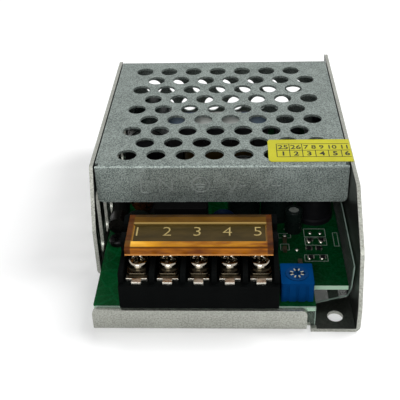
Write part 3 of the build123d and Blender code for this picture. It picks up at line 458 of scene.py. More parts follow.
class Recipe(Nodes):
    """Short calls that build one material on a principled shader, with Object coordinates."""

    def __init__(self, name: str) -> None:
        """Starts a material.

        Args:
            name: its name.
        """
        self.material = bpy.data.materials.new(name)
        super().__init__(self.material)
        self.shader = self.tree.nodes["Principled BSDF"]
        self.place = self.node("ShaderNodeTexCoord", {}).outputs["Object"]

    def noise(self, size_mm: float, detail: float = 3.0, rough: float = 0.55,
              streak: Streak | None = None) -> Socket:
        """Gives a cloudy pattern.

        Args:
            size_mm: width of its lumps.
            detail: how many finer layers it has.
            rough: how strong those are.
            streak: how it is drawn out.

        Returns:
            The pattern.
        """
        place = self.place
        if streak:
            place = self.node("ShaderNodeMapping", {0: place, 3: streak.value}).outputs[0]
        return self.node("ShaderNodeTexNoise", {"Vector": place, "Scale": 1000 / size_mm,
                                                "Detail": detail, "Roughness": rough}).outputs[0]

    def axis(self, letter: str) -> Socket:
        """Gives one coordinate of the place, in metres."""
        return self.node("ShaderNodeSeparateXYZ", {0: self.place}).outputs[letter]

    def spread(self, value: Socket, low: float, high: float, to_low: float = 0.0,
               to_high: float = 1.0) -> Socket:
        """Maps low..high to to_low..to_high and stops at both ends."""
        return self.node("ShaderNodeMapRange", {0: value, 1: low, 2: high, 3: to_low, 4: to_high}).outputs[0]

    def gloss(self, pattern: Socket, low: float, high: float) -> Socket:
        """Maps a noise pattern's usual range to low..high."""
        return self.spread(pattern, LOW, HIGH, low, high)

    def within(self, value: Socket, low: float, high: float) -> Socket:
        """Gives 1 where a value lies between two limits, and 0 elsewhere."""
        return self.sum("MULTIPLY", self.sum("GREATER_THAN", value, low), self.sum("LESS_THAN", value, high))

    def ramp(self, value: Socket, *stops: tuple[float, Colour]) -> Socket:
        """Gives the colour that the stops have at a value.

        Args:
            value: the value.
            stops: pairs of value and colour, lowest first.

        Returns:
            The colour.
        """
        new = self.node("ShaderNodeValToRGB", {0: value})
        places = new.color_ramp.elements
        while len(places) < len(stops):
            places.new(0.5)
        for element, (position, colour) in zip(places, stops):
            element.position = position
            element.color = (*colour, 1.0)
        return new.outputs[0]

    def tint(self, pattern: Socket, first: Colour, second: Colour, low: float = LOW,
             high: float = HIGH) -> Socket:
        """Gives the first colour where a pattern is low, the second where it is high, and blends between."""
        return self.ramp(pattern, (low, first), (high, second))

    def mix(self, share: object, first: object, second: object) -> Socket:
        """Mixes two colours, each a socket or three numbers, by the share of the second."""
        first, second = ((*c, 1.0) if isinstance(c, tuple) else c for c in (first, second))
        return self.node("ShaderNodeMix", {0: share, 6: first, 7: second}, data_type="RGBA").outputs[2]

    def bumped(self, height: Socket, depth_mm: float) -> None:
        """Bends the surface by a height pattern, depth_mm deep."""
        bump = self.node("ShaderNodeBump", {"Strength": 1.0, "Distance": depth_mm * MM, "Height": height})
        self.put(self.shader.inputs["Normal"], bump.outputs[0])

    def feeds(self, **values: object) -> Material:
        """Finishes the material.

        Args:
            values: shader socket, with _ for a space, to a pattern or a value.

        Returns:
            The material.
        """
        for key, value in values.items():
            self.put(self.shader.inputs[key.replace("_", " ")], value)
        return self.material


@dataclass(frozen=True)
class SheetMetal:
    """A zinc coated or rolled sheet: mottled colour, fine grain and uneven gloss.

    With inner_half_m set, painted shade darkens it within the case, where the walls and the cover shade it:
    nearer to the middle than that in X, above inner_floor_m in Z, and behind inner_front_m in Y. Right of
    ear_left_m the painted shade reaches in front of that too.
    """

    name: str
    dark: Colour
    pale: Colour
    metallic: float
    gloss_low: float
    gloss_high: float
    fleck_mm: float = 0.5
    inner_half_m: float = 0.0
    inner_floor_m: float = 0.0011
    inner_front_m: float = -0.0537
    ear_left_m: float = 0.0268
    ear_depth_m: float = 0.01
    inner_share: float = 0.12
    left_share: float = 0.01
    crystal_mm: float = 4.0
    cloud_mm: float = 9.0

    def painted_shade(self, r: Recipe) -> Socket:
        """Works out how much of the sheet's brightness is kept.

        Args:
            r: the recipe.

        Returns:
            1 outside, inner_share under the painted shade between the walls, left_share under the darker
            painted shade at the left wall.
        """
        half = self.inner_half_m
        ear = r.sum("MULTIPLY", r.sum("GREATER_THAN", r.axis("X"), self.ear_left_m), self.ear_depth_m)
        behind = r.sum("GREATER_THAN", r.sum("ADD", r.axis("Y"), ear), self.inner_front_m)
        shade_room = r.sum("MULTIPLY", r.within(r.axis("X"), -half, half), behind)
        shade_room = r.sum("MULTIPLY", shade_room, r.sum("GREATER_THAN", r.axis("Z"), self.inner_floor_m))
        share = r.spread(r.axis("X"), 2 * MM - half, MM - half, self.inner_share, self.left_share)
        return r.sum("ADD", r.sum("MULTIPLY", shade_room, share), r.sum("SUBTRACT", 1.0, shade_room))

    def material(self) -> Material:
        """Mixes the two colours by flecks, a cloud and crystals, and bumps them a little.

        Returns:
            The material.
        """
        r = Recipe(self.name)
        fleck = r.noise(self.fleck_mm, 4.0, 0.7)
        cloud = r.noise(self.cloud_mm, 3.0, 0.5)
        crystal = r.node("ShaderNodeTexVoronoi", {"Vector": r.place, "Scale": 1000 / self.crystal_mm})
        tone = r.sum("ADD", r.sum("MULTIPLY", fleck, 0.87), r.sum("MULTIPLY", cloud, 0.08))
        tone = r.sum("ADD", tone, r.sum("MULTIPLY", crystal.outputs["Color"], 0.05))
        colour = r.tint(tone, self.dark, self.pale, 0.40, 0.60)
        if self.inner_half_m:
            # painted shade: within the case the sheet turns near black, standing for the shade of the walls
            # and the cover
            colour = r.mix(self.painted_shade(r), (0.004, 0.006, 0.005), colour)
        r.bumped(fleck, 0.012)
        return r.feeds(Base_Color=colour, Metallic=self.metallic,
                       Roughness=r.gloss(fleck, self.gloss_low, self.gloss_high))


@dataclass(frozen=True)
class Moulding:
    """A moulded plastic with a faint texture and slightly uneven gloss."""

    name: str
    colour: Colour
    roughness: float = 0.45
    texture_mm: float = 0.35
    depth_mm: float = 0.008
    specular: float = 0.2

    def material(self) -> Material:
        """Varies the colour and the gloss by about a seventh each way.

        Returns:
            The material.
        """
        r = Recipe(self.name)
        fine = r.noise(self.texture_mm, 4.0, 0.6)
        darker = tuple(c * 0.86 for c in self.colour)
        lighter = tuple(min(1.0, c * 1.12) for c in self.colour)
        r.bumped(fine, self.depth_mm)
        return r.feeds(Base_Color=r.tint(r.noise(6.0, 2.0), darker, lighter, 0.35, 0.65),
                       Roughness=r.gloss(fine, self.roughness * 0.85, self.roughness * 1.15),
                       Specular_IOR_Level=self.specular)


@dataclass(frozen=True)
class Plated:
    """Plated or bare metal on small parts, with fine scratches."""

    name: str
    colour: Colour
    roughness: float

    @cache
    def material(self) -> Material:
        """Streaks the gloss and tints the colour unevenly; equal finishes share one material.

        Returns:
            The material.
        """
        r = Recipe(self.name)
        scratch = r.noise(0.7, 2.0, 0.5, Streak.ALONG_Y)
        darker = tuple(c * 0.72 for c in self.colour)
        r.bumped(scratch, 0.004)
        return r.feeds(Base_Color=r.tint(r.noise(2.2, 2.0), darker, self.colour, LOW, 0.62), Metallic=1.0,
                       Roughness=r.gloss(scratch, self.roughness * 0.6, self.roughness * 1.6))


@dataclass(frozen=True)
class ContactTin:
    """Tinned contact bars: dark with painted shade under the clamps and the flap, bright on the tabs in front
    of front_m.
    """

    front_m: float = -0.0521
    blur_m: float = 0.0002

    def material(self) -> Material:
        """Mixes a tin darkened by painted shade and a bright tin by Y, with fine scratches in the gloss.

        Returns:
            The material.
        """
        r = Recipe("contact_bars_tin")
        scratch = r.noise(0.7, 2.0, 0.5, Streak.ALONG_X)
        # painted shade: the bars under the clamps and the flap
        shaded_tin = r.tint(scratch, (0.05, 0.043, 0.03), (0.16, 0.14, 0.105), 0.35, 0.65)
        bright = r.tint(scratch, (0.58, 0.56, 0.49), (0.80, 0.78, 0.69))
        colour = r.mix(r.spread(r.axis("Y"), self.front_m + self.blur_m, self.front_m), shaded_tin, bright)
        r.bumped(scratch, 0.004)
        return r.feeds(Base_Color=colour, Metallic=1.0, Roughness=r.gloss(scratch, 0.2, 0.4))


@dataclass(frozen=True)
class SolderMask:
    """The board's green lacquer with paler copper tracks under it and a bare glass fibre edge."""

    side_top_m: float = 0.007704
    tracks_per_metre: float = 230.0
    shade_from_m: float = 0.010
    shade_to_m: float = 0.022

    def material(self) -> Material:
        """Draws tracks from cells, pale where the next cell is near, with painted shade darkening the lacquer
        towards the right.

        Returns:
            The material.
        """
        r = Recipe("solder_mask_green")
        track = r.node("ShaderNodeTexVoronoi", {"Vector": r.place, "Scale": self.tracks_per_metre},
                       feature="DISTANCE_TO_EDGE").outputs["Distance"]
        line = r.spread(track, 0.05, 0.09, 1.0, 0.0)
        lacquer = r.tint(r.noise(14.0, 2.0), (0.0002, 0.04, 0.008), (0.0004, 0.07, 0.016))
        lacquer = r.mix(r.sum("MULTIPLY", line, 0.4), lacquer, (0.001, 0.10, 0.028))
        # painted shade: the lacquer darkens towards the right, where the right wall shades the board
        right_shade = r.spread(r.axis("X"), self.shade_from_m, self.shade_to_m, 0.0, 0.55)
        lacquer = r.mix(right_shade, lacquer, (0.0004, 0.010, 0.003))
        side = r.sum("LESS_THAN", r.axis("Z"), self.side_top_m)
        r.bumped(line, 0.03)
        return r.feeds(Base_Color=r.mix(side, lacquer, (0.42, 0.60, 0.46)),
                       Roughness=r.gloss(r.noise(0.8), 0.2, 0.34), Specular_IOR_Level=0.05)


@dataclass(frozen=True)
class AmberPlastic:
    """Clear amber moulding: dark in its sunk panel, with painted highlights on its bevel, on the panel's rear
    wall and sides, and along its foot.

    Its sizes are the limits in X, Y and Z, in metres, at which one shade gives way to the next.
    """

    left_m: float = -0.0265
    right_m: float = 0.0143
    border_m: float = 0.0014
    hem_m: float = -0.0472
    bevel_rear_m: float = -0.0446
    face_m: float = -0.0477
    panel_rear_m: float = -0.0368
    line_rear_m: float = -0.0361
    back_m: float = -0.0335
    bottom_m: float = 0.0222
    blur_m: float = 0.00015

    def bands(self, r: Recipe, streak: Socket) -> Socket:
        """Lays bands of amber from rear to front, each starting where Y falls below its limit.

        Args:
            r: the recipe.
            streak: what makes each shade uneven.

        Returns:
            The colour.
        """
        # painted highlight on the bevel, brightest at its left end
        bevel_highlight = r.ramp(r.spread(r.axis("X"), self.left_m, self.right_m),
                      (0.0, (0.90, 0.52, 0.08)), (0.16, (0.62, 0.28, 0.01)), (0.3, (0.24, 0.08, 0.002)),
                      (0.75, (0.22, 0.07, 0.002)), (1.0, (0.14, 0.035, 0.002)))
        bevel_highlight = r.mix(r.spread(streak, 0.45, 0.65, 0.0, 0.6), bevel_highlight, (0.50, 0.22, 0.01))
        colour = r.tint(streak, (0.026, 0.012, 0.002), (0.05, 0.024, 0.004))
        for limit, shade in (
                (self.back_m, r.tint(streak, (0.065, 0.028, 0.002), (0.12, 0.055, 0.004))),
                # painted highlight: the lit rear wall of the sunk panel
                (self.line_rear_m, (0.30, 0.20, 0.06)),
                (self.panel_rear_m, r.tint(streak, (0.026, 0.017, 0.002), (0.052, 0.033, 0.006))),
                (self.bevel_rear_m, bevel_highlight),
                (self.hem_m, (0.07, 0.022, 0.002)),
                (self.face_m, r.tint(streak, (0.14, 0.035, 0.003), (0.40, 0.13, 0.006), 0.35, 0.65))):
            colour = r.mix(r.spread(r.axis("Y"), limit + self.blur_m, limit - self.blur_m), colour, shade)
        return colour

    def material(self) -> Material:
        """Adds a painted highlight along the panel's sides, darker ends and a painted highlight along the
        foot to the bands.

        Returns:
            The material.
        """
        r = Recipe("amber_plastic")
        blur = self.blur_m
        streak = r.noise(2.6, 3.0, 0.6, Streak.FLOWED)
        colour = self.bands(r, streak)
        off_centre = r.sum("ABSOLUTE", r.sum("SUBTRACT", r.axis("X"), (self.left_m + self.right_m) / 2))
        border = (self.right_m - self.left_m) / 2 - self.border_m
        panel = r.within(r.axis("Y"), self.bevel_rear_m, self.panel_rear_m)
        # painted highlight along the panel's side edges
        panel_side_highlight = r.sum("MULTIPLY", panel, r.spread(off_centre, border - 2.5 * blur, border - 2 * blur))
        colour = r.mix(panel_side_highlight, colour, (0.26, 0.13, 0.02))
        rim = r.tint(streak, (0.025, 0.006, 0.001), (0.08, 0.02, 0.002), 0.35, 0.65)
        colour = r.mix(r.spread(off_centre, border - blur, border + blur, 0.0, 0.93), colour, rim)
        # painted highlight: the flap's bottom edge as a pale orange line
        foot = r.spread(r.axis("Z"), self.bottom_m + blur, self.bottom_m - blur)
        r.bumped(r.noise(1.6, 2.0), 0.02)
        return r.feeds(Base_Color=r.mix(foot, colour, (0.62, 0.27, 0.07)), Roughness=0.16, IOR=1.49,
                       Specular_IOR_Level=0.05, Transmission_Weight=0.12)


@dataclass(frozen=True)
class ClearFilm:
    """Thin clear film with a faint haze."""

    haze_low: float = 0.05
    haze_high: float = 0.16

    def material(self) -> Material:
        """Mostly see-through, with a grey-green tint that varies along the sheet.

        Returns:
            The material.
        """
        r = Recipe("clear_film")
        r.bumped(r.noise(7.0, 2.0), 0.08)
        return r.feeds(Base_Color=r.tint(r.noise(4.0), (0.20, 0.28, 0.22), (0.34, 0.42, 0.35)),
                       Alpha=r.gloss(r.noise(11.0, 3.0), self.haze_low, self.haze_high),
                       Roughness=0.2, IOR=1.25)


@dataclass(frozen=True)
class SealPaper:
    """Yellow coated paper of the seal, slightly uneven."""

    dark: Colour = (0.32, 0.30, 0.002)
    pale: Colour = (0.40, 0.38, 0.006)

    def material(self) -> Material:
        """Mixes two yellows by a soft cloud, with a fine paper grain.

        Returns:
            The material.
        """
        r = Recipe("seal_yellow")
        grain = r.noise(0.3, 4.0, 0.6)
        r.bumped(grain, 0.01)
        return r.feeds(Base_Color=r.tint(r.noise(7.0, 4.0), self.dark, self.pale),
                       Roughness=r.gloss(grain, 0.4, 0.6))


@dataclass(frozen=True)
class Banded:
    """A lacquered resistor with colour bands round its body."""

    pitch_m: float = 0.0017
    band_share: float = 0.32

    def material(self) -> Material:
        """Repeats the bands along X over beige lacquer.

        Returns:
            The material.
        """
        r = Recipe("resistor_lacquer")
        wave = r.sum("FRACT", r.sum("DIVIDE", r.axis("X"), self.pitch_m))
        hue = r.tint(r.noise(2.4, 1.0), (0.25, 0.03, 0.02), (0.02, 0.05, 0.18), 0.42, 0.58)
        r.bumped(r.noise(1.2), 0.02)
        return r.feeds(Base_Color=r.mix(r.sum("LESS_THAN", wave, self.band_share), (0.42, 0.33, 0.17), hue),
                       Roughness=r.gloss(r.noise(0.6), 0.2, 0.35))


# ---- sub-assemblies ----

SCREW = Plated("screw_nickel", (0.42, 0.385, 0.32), 0.12)
SOLDER = Plated("contact_tin", (0.60, 0.58, 0.51), 0.3)


@dataclass
class CaseMarks:
    """The generic letters and signs stamped into the cover's front flange."""

    face_y: float = -24.0
    half_width: float = 0.24
    height: float = 0.16
    earth_x: float = -6.2
    earth_z: float = 29.3
    ring: float = 2.6
    # paler than the cover: a painted highlight for the light caught by the stamped strokes' edges
    metal: SheetMetal = SheetMetal("stamped_marks", (0.15, 0.17, 0.16), (0.30, 0.335, 0.315),
                                   0.3, 0.5, 0.7)

    def strokes(self) -> list[Points]:
        """Lists the strokes of L, N, earth, V- and V+.

        Returns:
            Each stroke as points of X and Z; the first is the ring of the earth sign.
        """
        turn = np.linspace(0, FULL_TURN, 29)[:-1]
        ring = list(zip(self.earth_x + self.ring * np.cos(turn), self.earth_z + self.ring * np.sin(turn)))
        bars = [[(self.earth_x - w, z), (self.earth_x + w, z)]
                for w, z in ((1.8, 29.4), (1.2, 28.5), (0.6, 27.6))]
        return [ring,
                [(-24.0, 31.8), (-24.0, 26.6), (-21.9, 26.6)],
                [(-18.4, 27.3), (-18.4, 31.5), (-14.7, 27.3), (-14.7, 31.5)],
                [(self.earth_x, 31.3), (self.earth_x, 29.5)],
                [(1.2, 31.8), (3.2, 26.9), (5.2, 31.8)],
                [(5.6, 28.9), (7.2, 28.9)],
                [(10.9, 31.8), (12.8, 26.9), (14.7, 31.8)],
                [(15.0, 28.9), (17.4, 28.9)],
                [(16.2, 27.7), (16.2, 30.1)]] + bars

    def build(self) -> None:
        """Carries a low flat profile along every stroke and joins them in one piece."""
        shell = Shell()
        for k, stroke in enumerate(self.strokes()):
            path = [(x, self.face_y, z) for x, z in stroke]
            shell.stroke(flat_bar(self.half_width, self.height), path, (0, -1, 0), k == 0)
        seated(shell.piece("flange_marks"), self.metal.material())


@dataclass
class Case:
    """Tray, cover and their screws."""

    # the tray carries painted shade within the case, set by inner_half_m
    tray: SheetMetal = SheetMetal("tray_aluminium", (0.25, 0.256, 0.226), (0.44, 0.45, 0.405),
                                  0.9, 0.30, 0.44, inner_half_m=0.0379)
    lid: SheetMetal = SheetMetal("cover_zinc", (0.065, 0.082, 0.076), (0.30, 0.345, 0.32),
                                 0.6, 0.40, 0.60, 0.42)
    blackened: Plated = Plated("screw_blackened", (0.02, 0.02, 0.02), 0.4)
    brass: Plated = Plated("standoff_brass", (0.5, 0.38, 0.14), 0.3)
    tray_round: float = 0.14
    lid_round: float = 0.10

    def build(self) -> None:
        """Dresses the sheet metal with rounded edges and places the stamped marks."""
        tray = node_copy("chassis", "tray_shell", self.tray_round, smooth_deg=6.0)
        seated(tray, self.tray.material())
        seated(node_copy("cover", "cover_shell", self.lid_round), self.lid.material())
        CaseMarks().build()
        dress(["cover_screws", "clamp_screws"], SCREW.material())
        dress(["board_screws"], self.blackened.material())
        dress(["standoffs"], self.brass.material())


@dataclass
class Seal:
    """The yellow strip across the seam, with a plain grid of numbers."""

    left: float = 14.0
    right: float = 39.0
    front: float = -22.1
    rear: float = -9.3
    top: float = 36.0
    drop: float = 9.0
    thickness: float = 0.12
    corner: float = 0.9
    bend: float = 0.3
    curl: float = 0.05
    curl_reach: float = 1.5
    grid_x: tuple[float, float] = (16.6, 38.5)
    grid_y: tuple[float, float, float] = (-19.4, -15.7, -11.9)
    cells: float = 5.7
    last_shift: float = 0.25
    paper: SealPaper = SealPaper()
    ink: Moulding = Moulding("print_black", (0.015, 0.015, 0.012), 0.5)

    def path(self, across: np.ndarray) -> np.ndarray:
        """Bends a flat distance over the case's corner: first X, then a small arc, then down.

        Args:
            across: distances from the left edge.

        Returns:
            For each one X, Z and the two parts of the outward direction.
        """
        flat = self.right - self.left - self.bend
        turn = np.clip((across - flat) / self.bend, 0, math.pi / 2)
        down = np.clip(across - flat - self.bend * math.pi / 2, 0, None)
        x = self.left + np.minimum(across, flat) + self.bend * np.sin(turn)
        z = self.top - self.bend * (1 - np.cos(turn)) - down
        return np.stack([x, z, np.sin(turn), np.cos(turn)], axis=-1)

    def sheet(self, lift: float) -> np.ndarray:
        """Works out one face of the strip, a grid of distance across and depth.

        The left end's corners are round, y = front + c (1 - sqrt(1 - (1 - d / c)^2)), with d the distance
        from the end and c their radius. That end curls up by a square law.

        Args:
            lift: how far the face is off the case.

        Returns:
            Rows x columns x 3.
        """
        flat = self.right - self.left - self.bend
        total = flat + self.bend * math.pi / 2 + self.drop - self.bend
        across = np.concatenate([np.linspace(0, flat, 40), np.linspace(flat, total, 24)[1:]])
        depth = np.linspace(0, 1, 17)
        line = self.path(across)
        near = np.clip((self.corner - across) / self.corner, 0, 1)
        inset = self.corner * (1 - np.sqrt(np.clip(1 - near ** 2, 0, 1)))
        y = self.front + inset[:, None] + depth[None] * (self.rear - self.front - 2 * inset[:, None])
        off = lift + self.curl * np.clip(1 - across / self.curl_reach, 0, 1)[:, None] ** 2
        x = line[:, :1] + line[:, 2:3] * off
        z = line[:, 1:2] + line[:, 3:4] * off
        return np.stack([np.broadcast_to(x, y.shape), y, np.broadcast_to(z, y.shape)], axis=-1)

    def build(self) -> None:
        """Makes the strip as two faces joined round their rim, then prints on it."""
        over, under = self.sheet(self.thickness), self.sheet(0.01)
        shell = Shell().grid(over).grid(under)
        for a, b in ((over[0], under[0]), (over[-1], under[-1]), (over[:, 0], under[:, 0]),
                     (over[:, -1], under[:, -1])):
            shell.grid(np.stack([a, b]))
        strip = shell.piece("seal_strip")
        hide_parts("seal_sticker")
        seated(strip, self.paper.material())
        self.print_grid()

    def print_grid(self) -> None:
        """Prints a plain frame, six digits in its front row of cells and plain numbers in the rear row."""
        ink = self.ink.material()
        z = self.top + self.thickness
        left, right = self.grid_x
        front, middle, rear = self.grid_y
        cell = (right - left) / self.cells
        bars = [(left, y, right, y) for y in self.grid_y]
        bars += [(left + k * cell, front, left + k * cell, rear if k < 3 else middle) for k in range(6)]
        shell = Shell()
        for x_1, y_1, x_2, y_2 in bars:
            shell.stroke(flat_bar(0.12, 0.02), [(x_1, y_1, z), (x_2, y_2, z)])
        seated(shell.piece("seal_grid"), ink)
        near, far = (front + middle) / 2, (rear + middle) / 2
        words = [(f"seal_digit_{k + 1}", str(k + 1), 2.2, (k + 0.5) * cell, near, 0.09) for k in range(5)]
        words += [("seal_digit_6", "6", 2.2, 5.5 * cell - self.last_shift, near, 0.09),
                  ("seal_number_1", "25", 2.3, 0.5 * cell, far, 0.05),
                  ("seal_number_2", "26", 2.3, 1.5 * cell, far, 0.05),
                  ("seal_row", "7 8 9 10 11", 2.1, 3.85 * cell, far, 0.05)]
        for name, word, size, x, y, weight in words:
            seated(printed(name, word, size, (left + x, y, z), 0.03, weight), ink)


@dataclass
class Terminals:
    """The screw terminal block: moulding, contact bars, clamp washers and screws."""

    centre: float = -6.1
    pitch: float = 8.6
    screw_y: float = -46.2
    washer_top: float = 17.7
    head_radius: float = 2.95
    head_height: float = 1.7
    head_rim: float = 0.12
    dome: float = 0.035
    shoulder: float = 2.2
    shoulder_width: float = 0.75
    shoulder_drop: float = 0.55
    shank_radius: float = 1.7
    reach: float = 5.4
    thread_pitch: float = 0.6
    thread_depth: float = 0.26
    tip: float = 0.6
    cross_turn: float = 0.35
    cross_half: float = 0.5
    cross_reach: float = 2.0
    cross_depth: float = 1.15
    cross_rise: float = 0.25
    cross_side: float = 0.16
    cross_end: float = 0.4
    hole_gap: float = 0.1
    squareness: float = 8.0
    black: Moulding = Moulding("block_black", (0.002, 0.0024, 0.0024), 0.6, 0.6, 0.012, 0.015)
    tin: ContactTin = ContactTin()
    zinc: Plated = Plated("washer_zinc", (0.055, 0.047, 0.033), 0.2)

    def head(self, x: float) -> np.ndarray:
        """Works out a pan head over radius and angle.

        The height is a dome, h = H - c r^2, with a round shoulder at the rim, less a cross recess whose depth
        fades across each arm's width and along its length.

        Args:
            x: the screw's middle.

        Returns:
            Rows x columns x 3.
        """
        inner = self.cross_reach * 1.08
        radius = np.concatenate([np.linspace(0.0, inner, 18), np.linspace(inner, self.head_radius, 8)[1:]])
        r, a = np.meshgrid(radius, circle(96), indexing="ij")
        across, beside = np.abs(r * np.cos(a + self.cross_turn)), np.abs(r * np.sin(a + self.cross_turn))
        fall = np.clip((r - self.shoulder) / self.shoulder_width, 0, 1) ** 3
        height = self.head_height - self.dome * r ** 2 - self.shoulder_drop * fall
        narrow, along = np.minimum(across, beside), np.maximum(across, beside)
        arm = (np.clip((self.cross_half - narrow) / self.cross_side, 0, 1)
               * np.clip((self.cross_reach - along) / self.cross_end, 0, 1))
        surface = height - arm * (self.cross_depth - self.cross_rise * along)
        foot = np.array((x, self.screw_y, self.washer_top))
        skirt = lathe([(self.head_radius, self.head_rim), (self.head_radius - self.head_rim, 0.0),
                       (self.shank_radius, 0.0)], foot, 96)
        return np.concatenate([np.stack([r * np.cos(a), r * np.sin(a), surface], axis=-1) + foot, skirt])

    def shank(self, x: float) -> np.ndarray:
        """Works out the thread: radius = core + depth * triangle(height / pitch - angle / turn).

        Args:
            x: the screw's middle.

        Returns:
            Rows x columns x 3.
        """
        h, a = np.meshgrid(np.linspace(0.0, -self.reach, 64), circle(48), indexing="ij")
        phase = np.mod(h / self.thread_pitch - a / FULL_TURN, 1.0)
        r = self.shank_radius - self.thread_depth * np.abs(2 * phase - 1)
        foot = np.array((x, self.screw_y, self.washer_top))
        ring = np.stack([r * np.cos(a), r * np.sin(a), h], axis=-1) + foot
        tip = lathe([(self.shank_radius - self.tip, -self.reach), (0.0, -self.reach)], foot, 48)
        return np.concatenate([lathe([(0.0, 0.0)], foot, 48), ring, tip])

    def washer(self, x: float, box: tuple) -> Shell:
        """Works out a flat square clamp washer, from its round hole to the plate's rounded square.

        The square's radius is half * (|cos|^p + |sin|^p)^(-1/p).

        Args:
            x: the hole's middle.
            box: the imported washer's corners, in metres.

        Returns:
            The shell.
        """
        low, high = (np.array(corner) / MM for corner in box)
        half = (high - low) / 2
        middle = (high + low) / 2
        turn = circle(64)
        c, s = np.cos(turn), np.sin(turn)
        stretch = (np.abs(c) ** self.squareness + np.abs(s) ** self.squareness) ** (-1 / self.squareness)
        share = np.linspace(0, 1, 7)[:, None]
        hole = self.shank_radius + self.hole_gap
        u = (1 - share) * hole * c + share * half[0] * c * stretch
        v = (1 - share) * hole * s + share * half[1] * s * stretch
        faces = [np.stack([x + u, middle[1] + v, np.full(u.shape, z)], axis=-1) for z in (high[2], low[2])]
        shell = Shell().tube(faces[0]).tube(faces[1])
        for k in (0, -1):
            shell.tube(np.stack([faces[0][k], faces[1][k]]))
        return shell

    def build(self) -> None:
        """Dresses the moulding and bars, and replaces each screw and washer with a finer one."""
        seated(node_copy("terminal_block", "block_moulding", 0.18), self.black.material())
        seated(node_copy("contact_bars", "contact_strips", 0.12), self.tin.material())
        for k in range(5):
            x = self.centre + self.pitch * (k - 2)
            piece = Shell().tube(self.head(x)).tube(self.shank(x)).piece(f"screw_{k + 1}", 30.0)
            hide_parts(f"terminal_screw_{k + 1}")
            seated(piece, SCREW.material(), f"screw_{k + 1}")
            plate = self.washer(x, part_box(f"clamp_washer_{k + 1}")).piece(f"washer_{k + 1}")
            rounded(plate, 0.1, 2, 30.0, False)
            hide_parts(f"clamp_washer_{k + 1}")
            seated(plate, self.zinc.material(), f"clamp_{k + 1}")


@dataclass
class Flap:
    """The hinged amber cover over the terminals, with its five numerals."""

    first_x: float = -23.9
    pitch: float = 8.57
    middle_y: float = -39.9
    numeral_z: float = 23.94
    numeral_height: float = 4.2
    numeral_thickness: float = 0.16
    numeral_weight: float = -0.09
    amber: AmberPlastic = AmberPlastic()
    beige: Moulding = Moulding("numeral_beige", (0.30, 0.23, 0.09), 0.35)

    def build(self) -> None:
        """Rounds the moulding's edges and sets the numerals on its sunk panel."""
        seated(node_copy("flip_cover", "amber_flap", 0.22, 3), self.amber.material(), FLAP)
        beige = self.beige.material()
        for k in range(5):
            spot = (self.first_x + k * self.pitch, self.middle_y, self.numeral_z)
            numeral = printed(f"flap_numeral_{k + 1}", str(k + 1), self.numeral_height, spot,
                              self.numeral_thickness, self.numeral_weight)
            seated(numeral, beige, FLAP)


@dataclass
class Board:
    """The circuit board with its print, pads and small parts, and the film round it."""

    top: float = 7.8
    line: float = 0.11
    film_line: float = 0.16
    film_wall_x: float = 37.03
    film_lip_y: float = -53.68
    boxes: tuple = ((25.7, -25.6, 32.3, -21.9), (25.7, -21.3, 32.3, -17.2), (25.0, -33.3, 31.9, -30.3),
                    (17.6, -21.9, 21.4, -19.6), (18.0, -28.0, 20.6, -25.0), (34.6, -26.0, 36.0, -19.2))
    pads: tuple = ((27.6, -19.3), (30.7, -19.4), (26.9, -23.8), (30.6, -23.8), (26.4, -31.8), (30.2, -31.8),
                   (29.4, -4.4), (29.3, -7.0), (28.5, -9.9), (20.1, -17.1), (19.6, -20.7), (24.5, -14.2),
                   (22.9, -27.8), (23.9, -36.6))
    pad_profile: tuple = ((0.0, 0.34), (0.25, 0.32), (0.5, 0.22), (0.66, 0.06), (0.7, -0.02), (0.0, -0.02))
    mask: SolderMask = SolderMask()
    white: Moulding = Moulding("print_white", (0.22, 0.26, 0.22), 0.5)
    film: ClearFilm = ClearFilm()
    # pale strokes on the film's cut edges: a painted highlight
    film_edge: Moulding = Moulding("painted_film_edge_highlight", (0.20, 0.27, 0.23), 0.3)

    def film_edge_highlights(self) -> Shell:
        """Lines the cut edges of the film at the wall, on the floor and behind the lip with pale strokes, a
        painted highlight where the edges catch the light.

        Returns:
            The shell of all three lines.
        """
        x, y, t = self.film_wall_x, self.film_lip_y, self.film_line
        shell = Shell()
        wall = [(x, 6.0, 17.7), (x, -47.8, 17.7), (x, -46.4, 8.8), (x, -41.6, 1.6)]
        shell.stroke(four_sided(t, t), wall, (1, 0, 0))
        shell.stroke(four_sided(t, t * 0.8), [(26.4, -44.9, 1.4), (37.0, -41.3, 1.4)])
        lip = [(-35.5, y, 8.1), (26.3, y, 8.1), (26.3, y, 1.5)]
        shell.stroke(four_sided(t * 0.7, t * 0.7), lip, (0, 1, 0))
        return shell

    def build(self) -> None:
        """Prints the boxes, raises the solder pads and lines the film's cut edges with a painted highlight.
        """
        dress(["pcb"], self.mask.material())
        outlines = Shell()
        for left, front, right, rear in self.boxes:
            path = [(x, y, self.top) for x, y in ((left, front), (right, front), (right, rear), (left, rear))]
            outlines.stroke(flat_bar(self.line, 0.03), path, UP, True)
        seated(outlines.piece("board_print"), self.white.material())
        pads = Shell()
        for x, y in self.pads:
            pads.tube(lathe(self.pad_profile, (x, y, self.top), 18))
        seated(pads.piece("solder_pads"), SOLDER.material())
        dress(["insulating_film"], self.film.material())
        seated(self.film_edge_highlights().piece("film_edge_highlights"), self.film_edge.material())


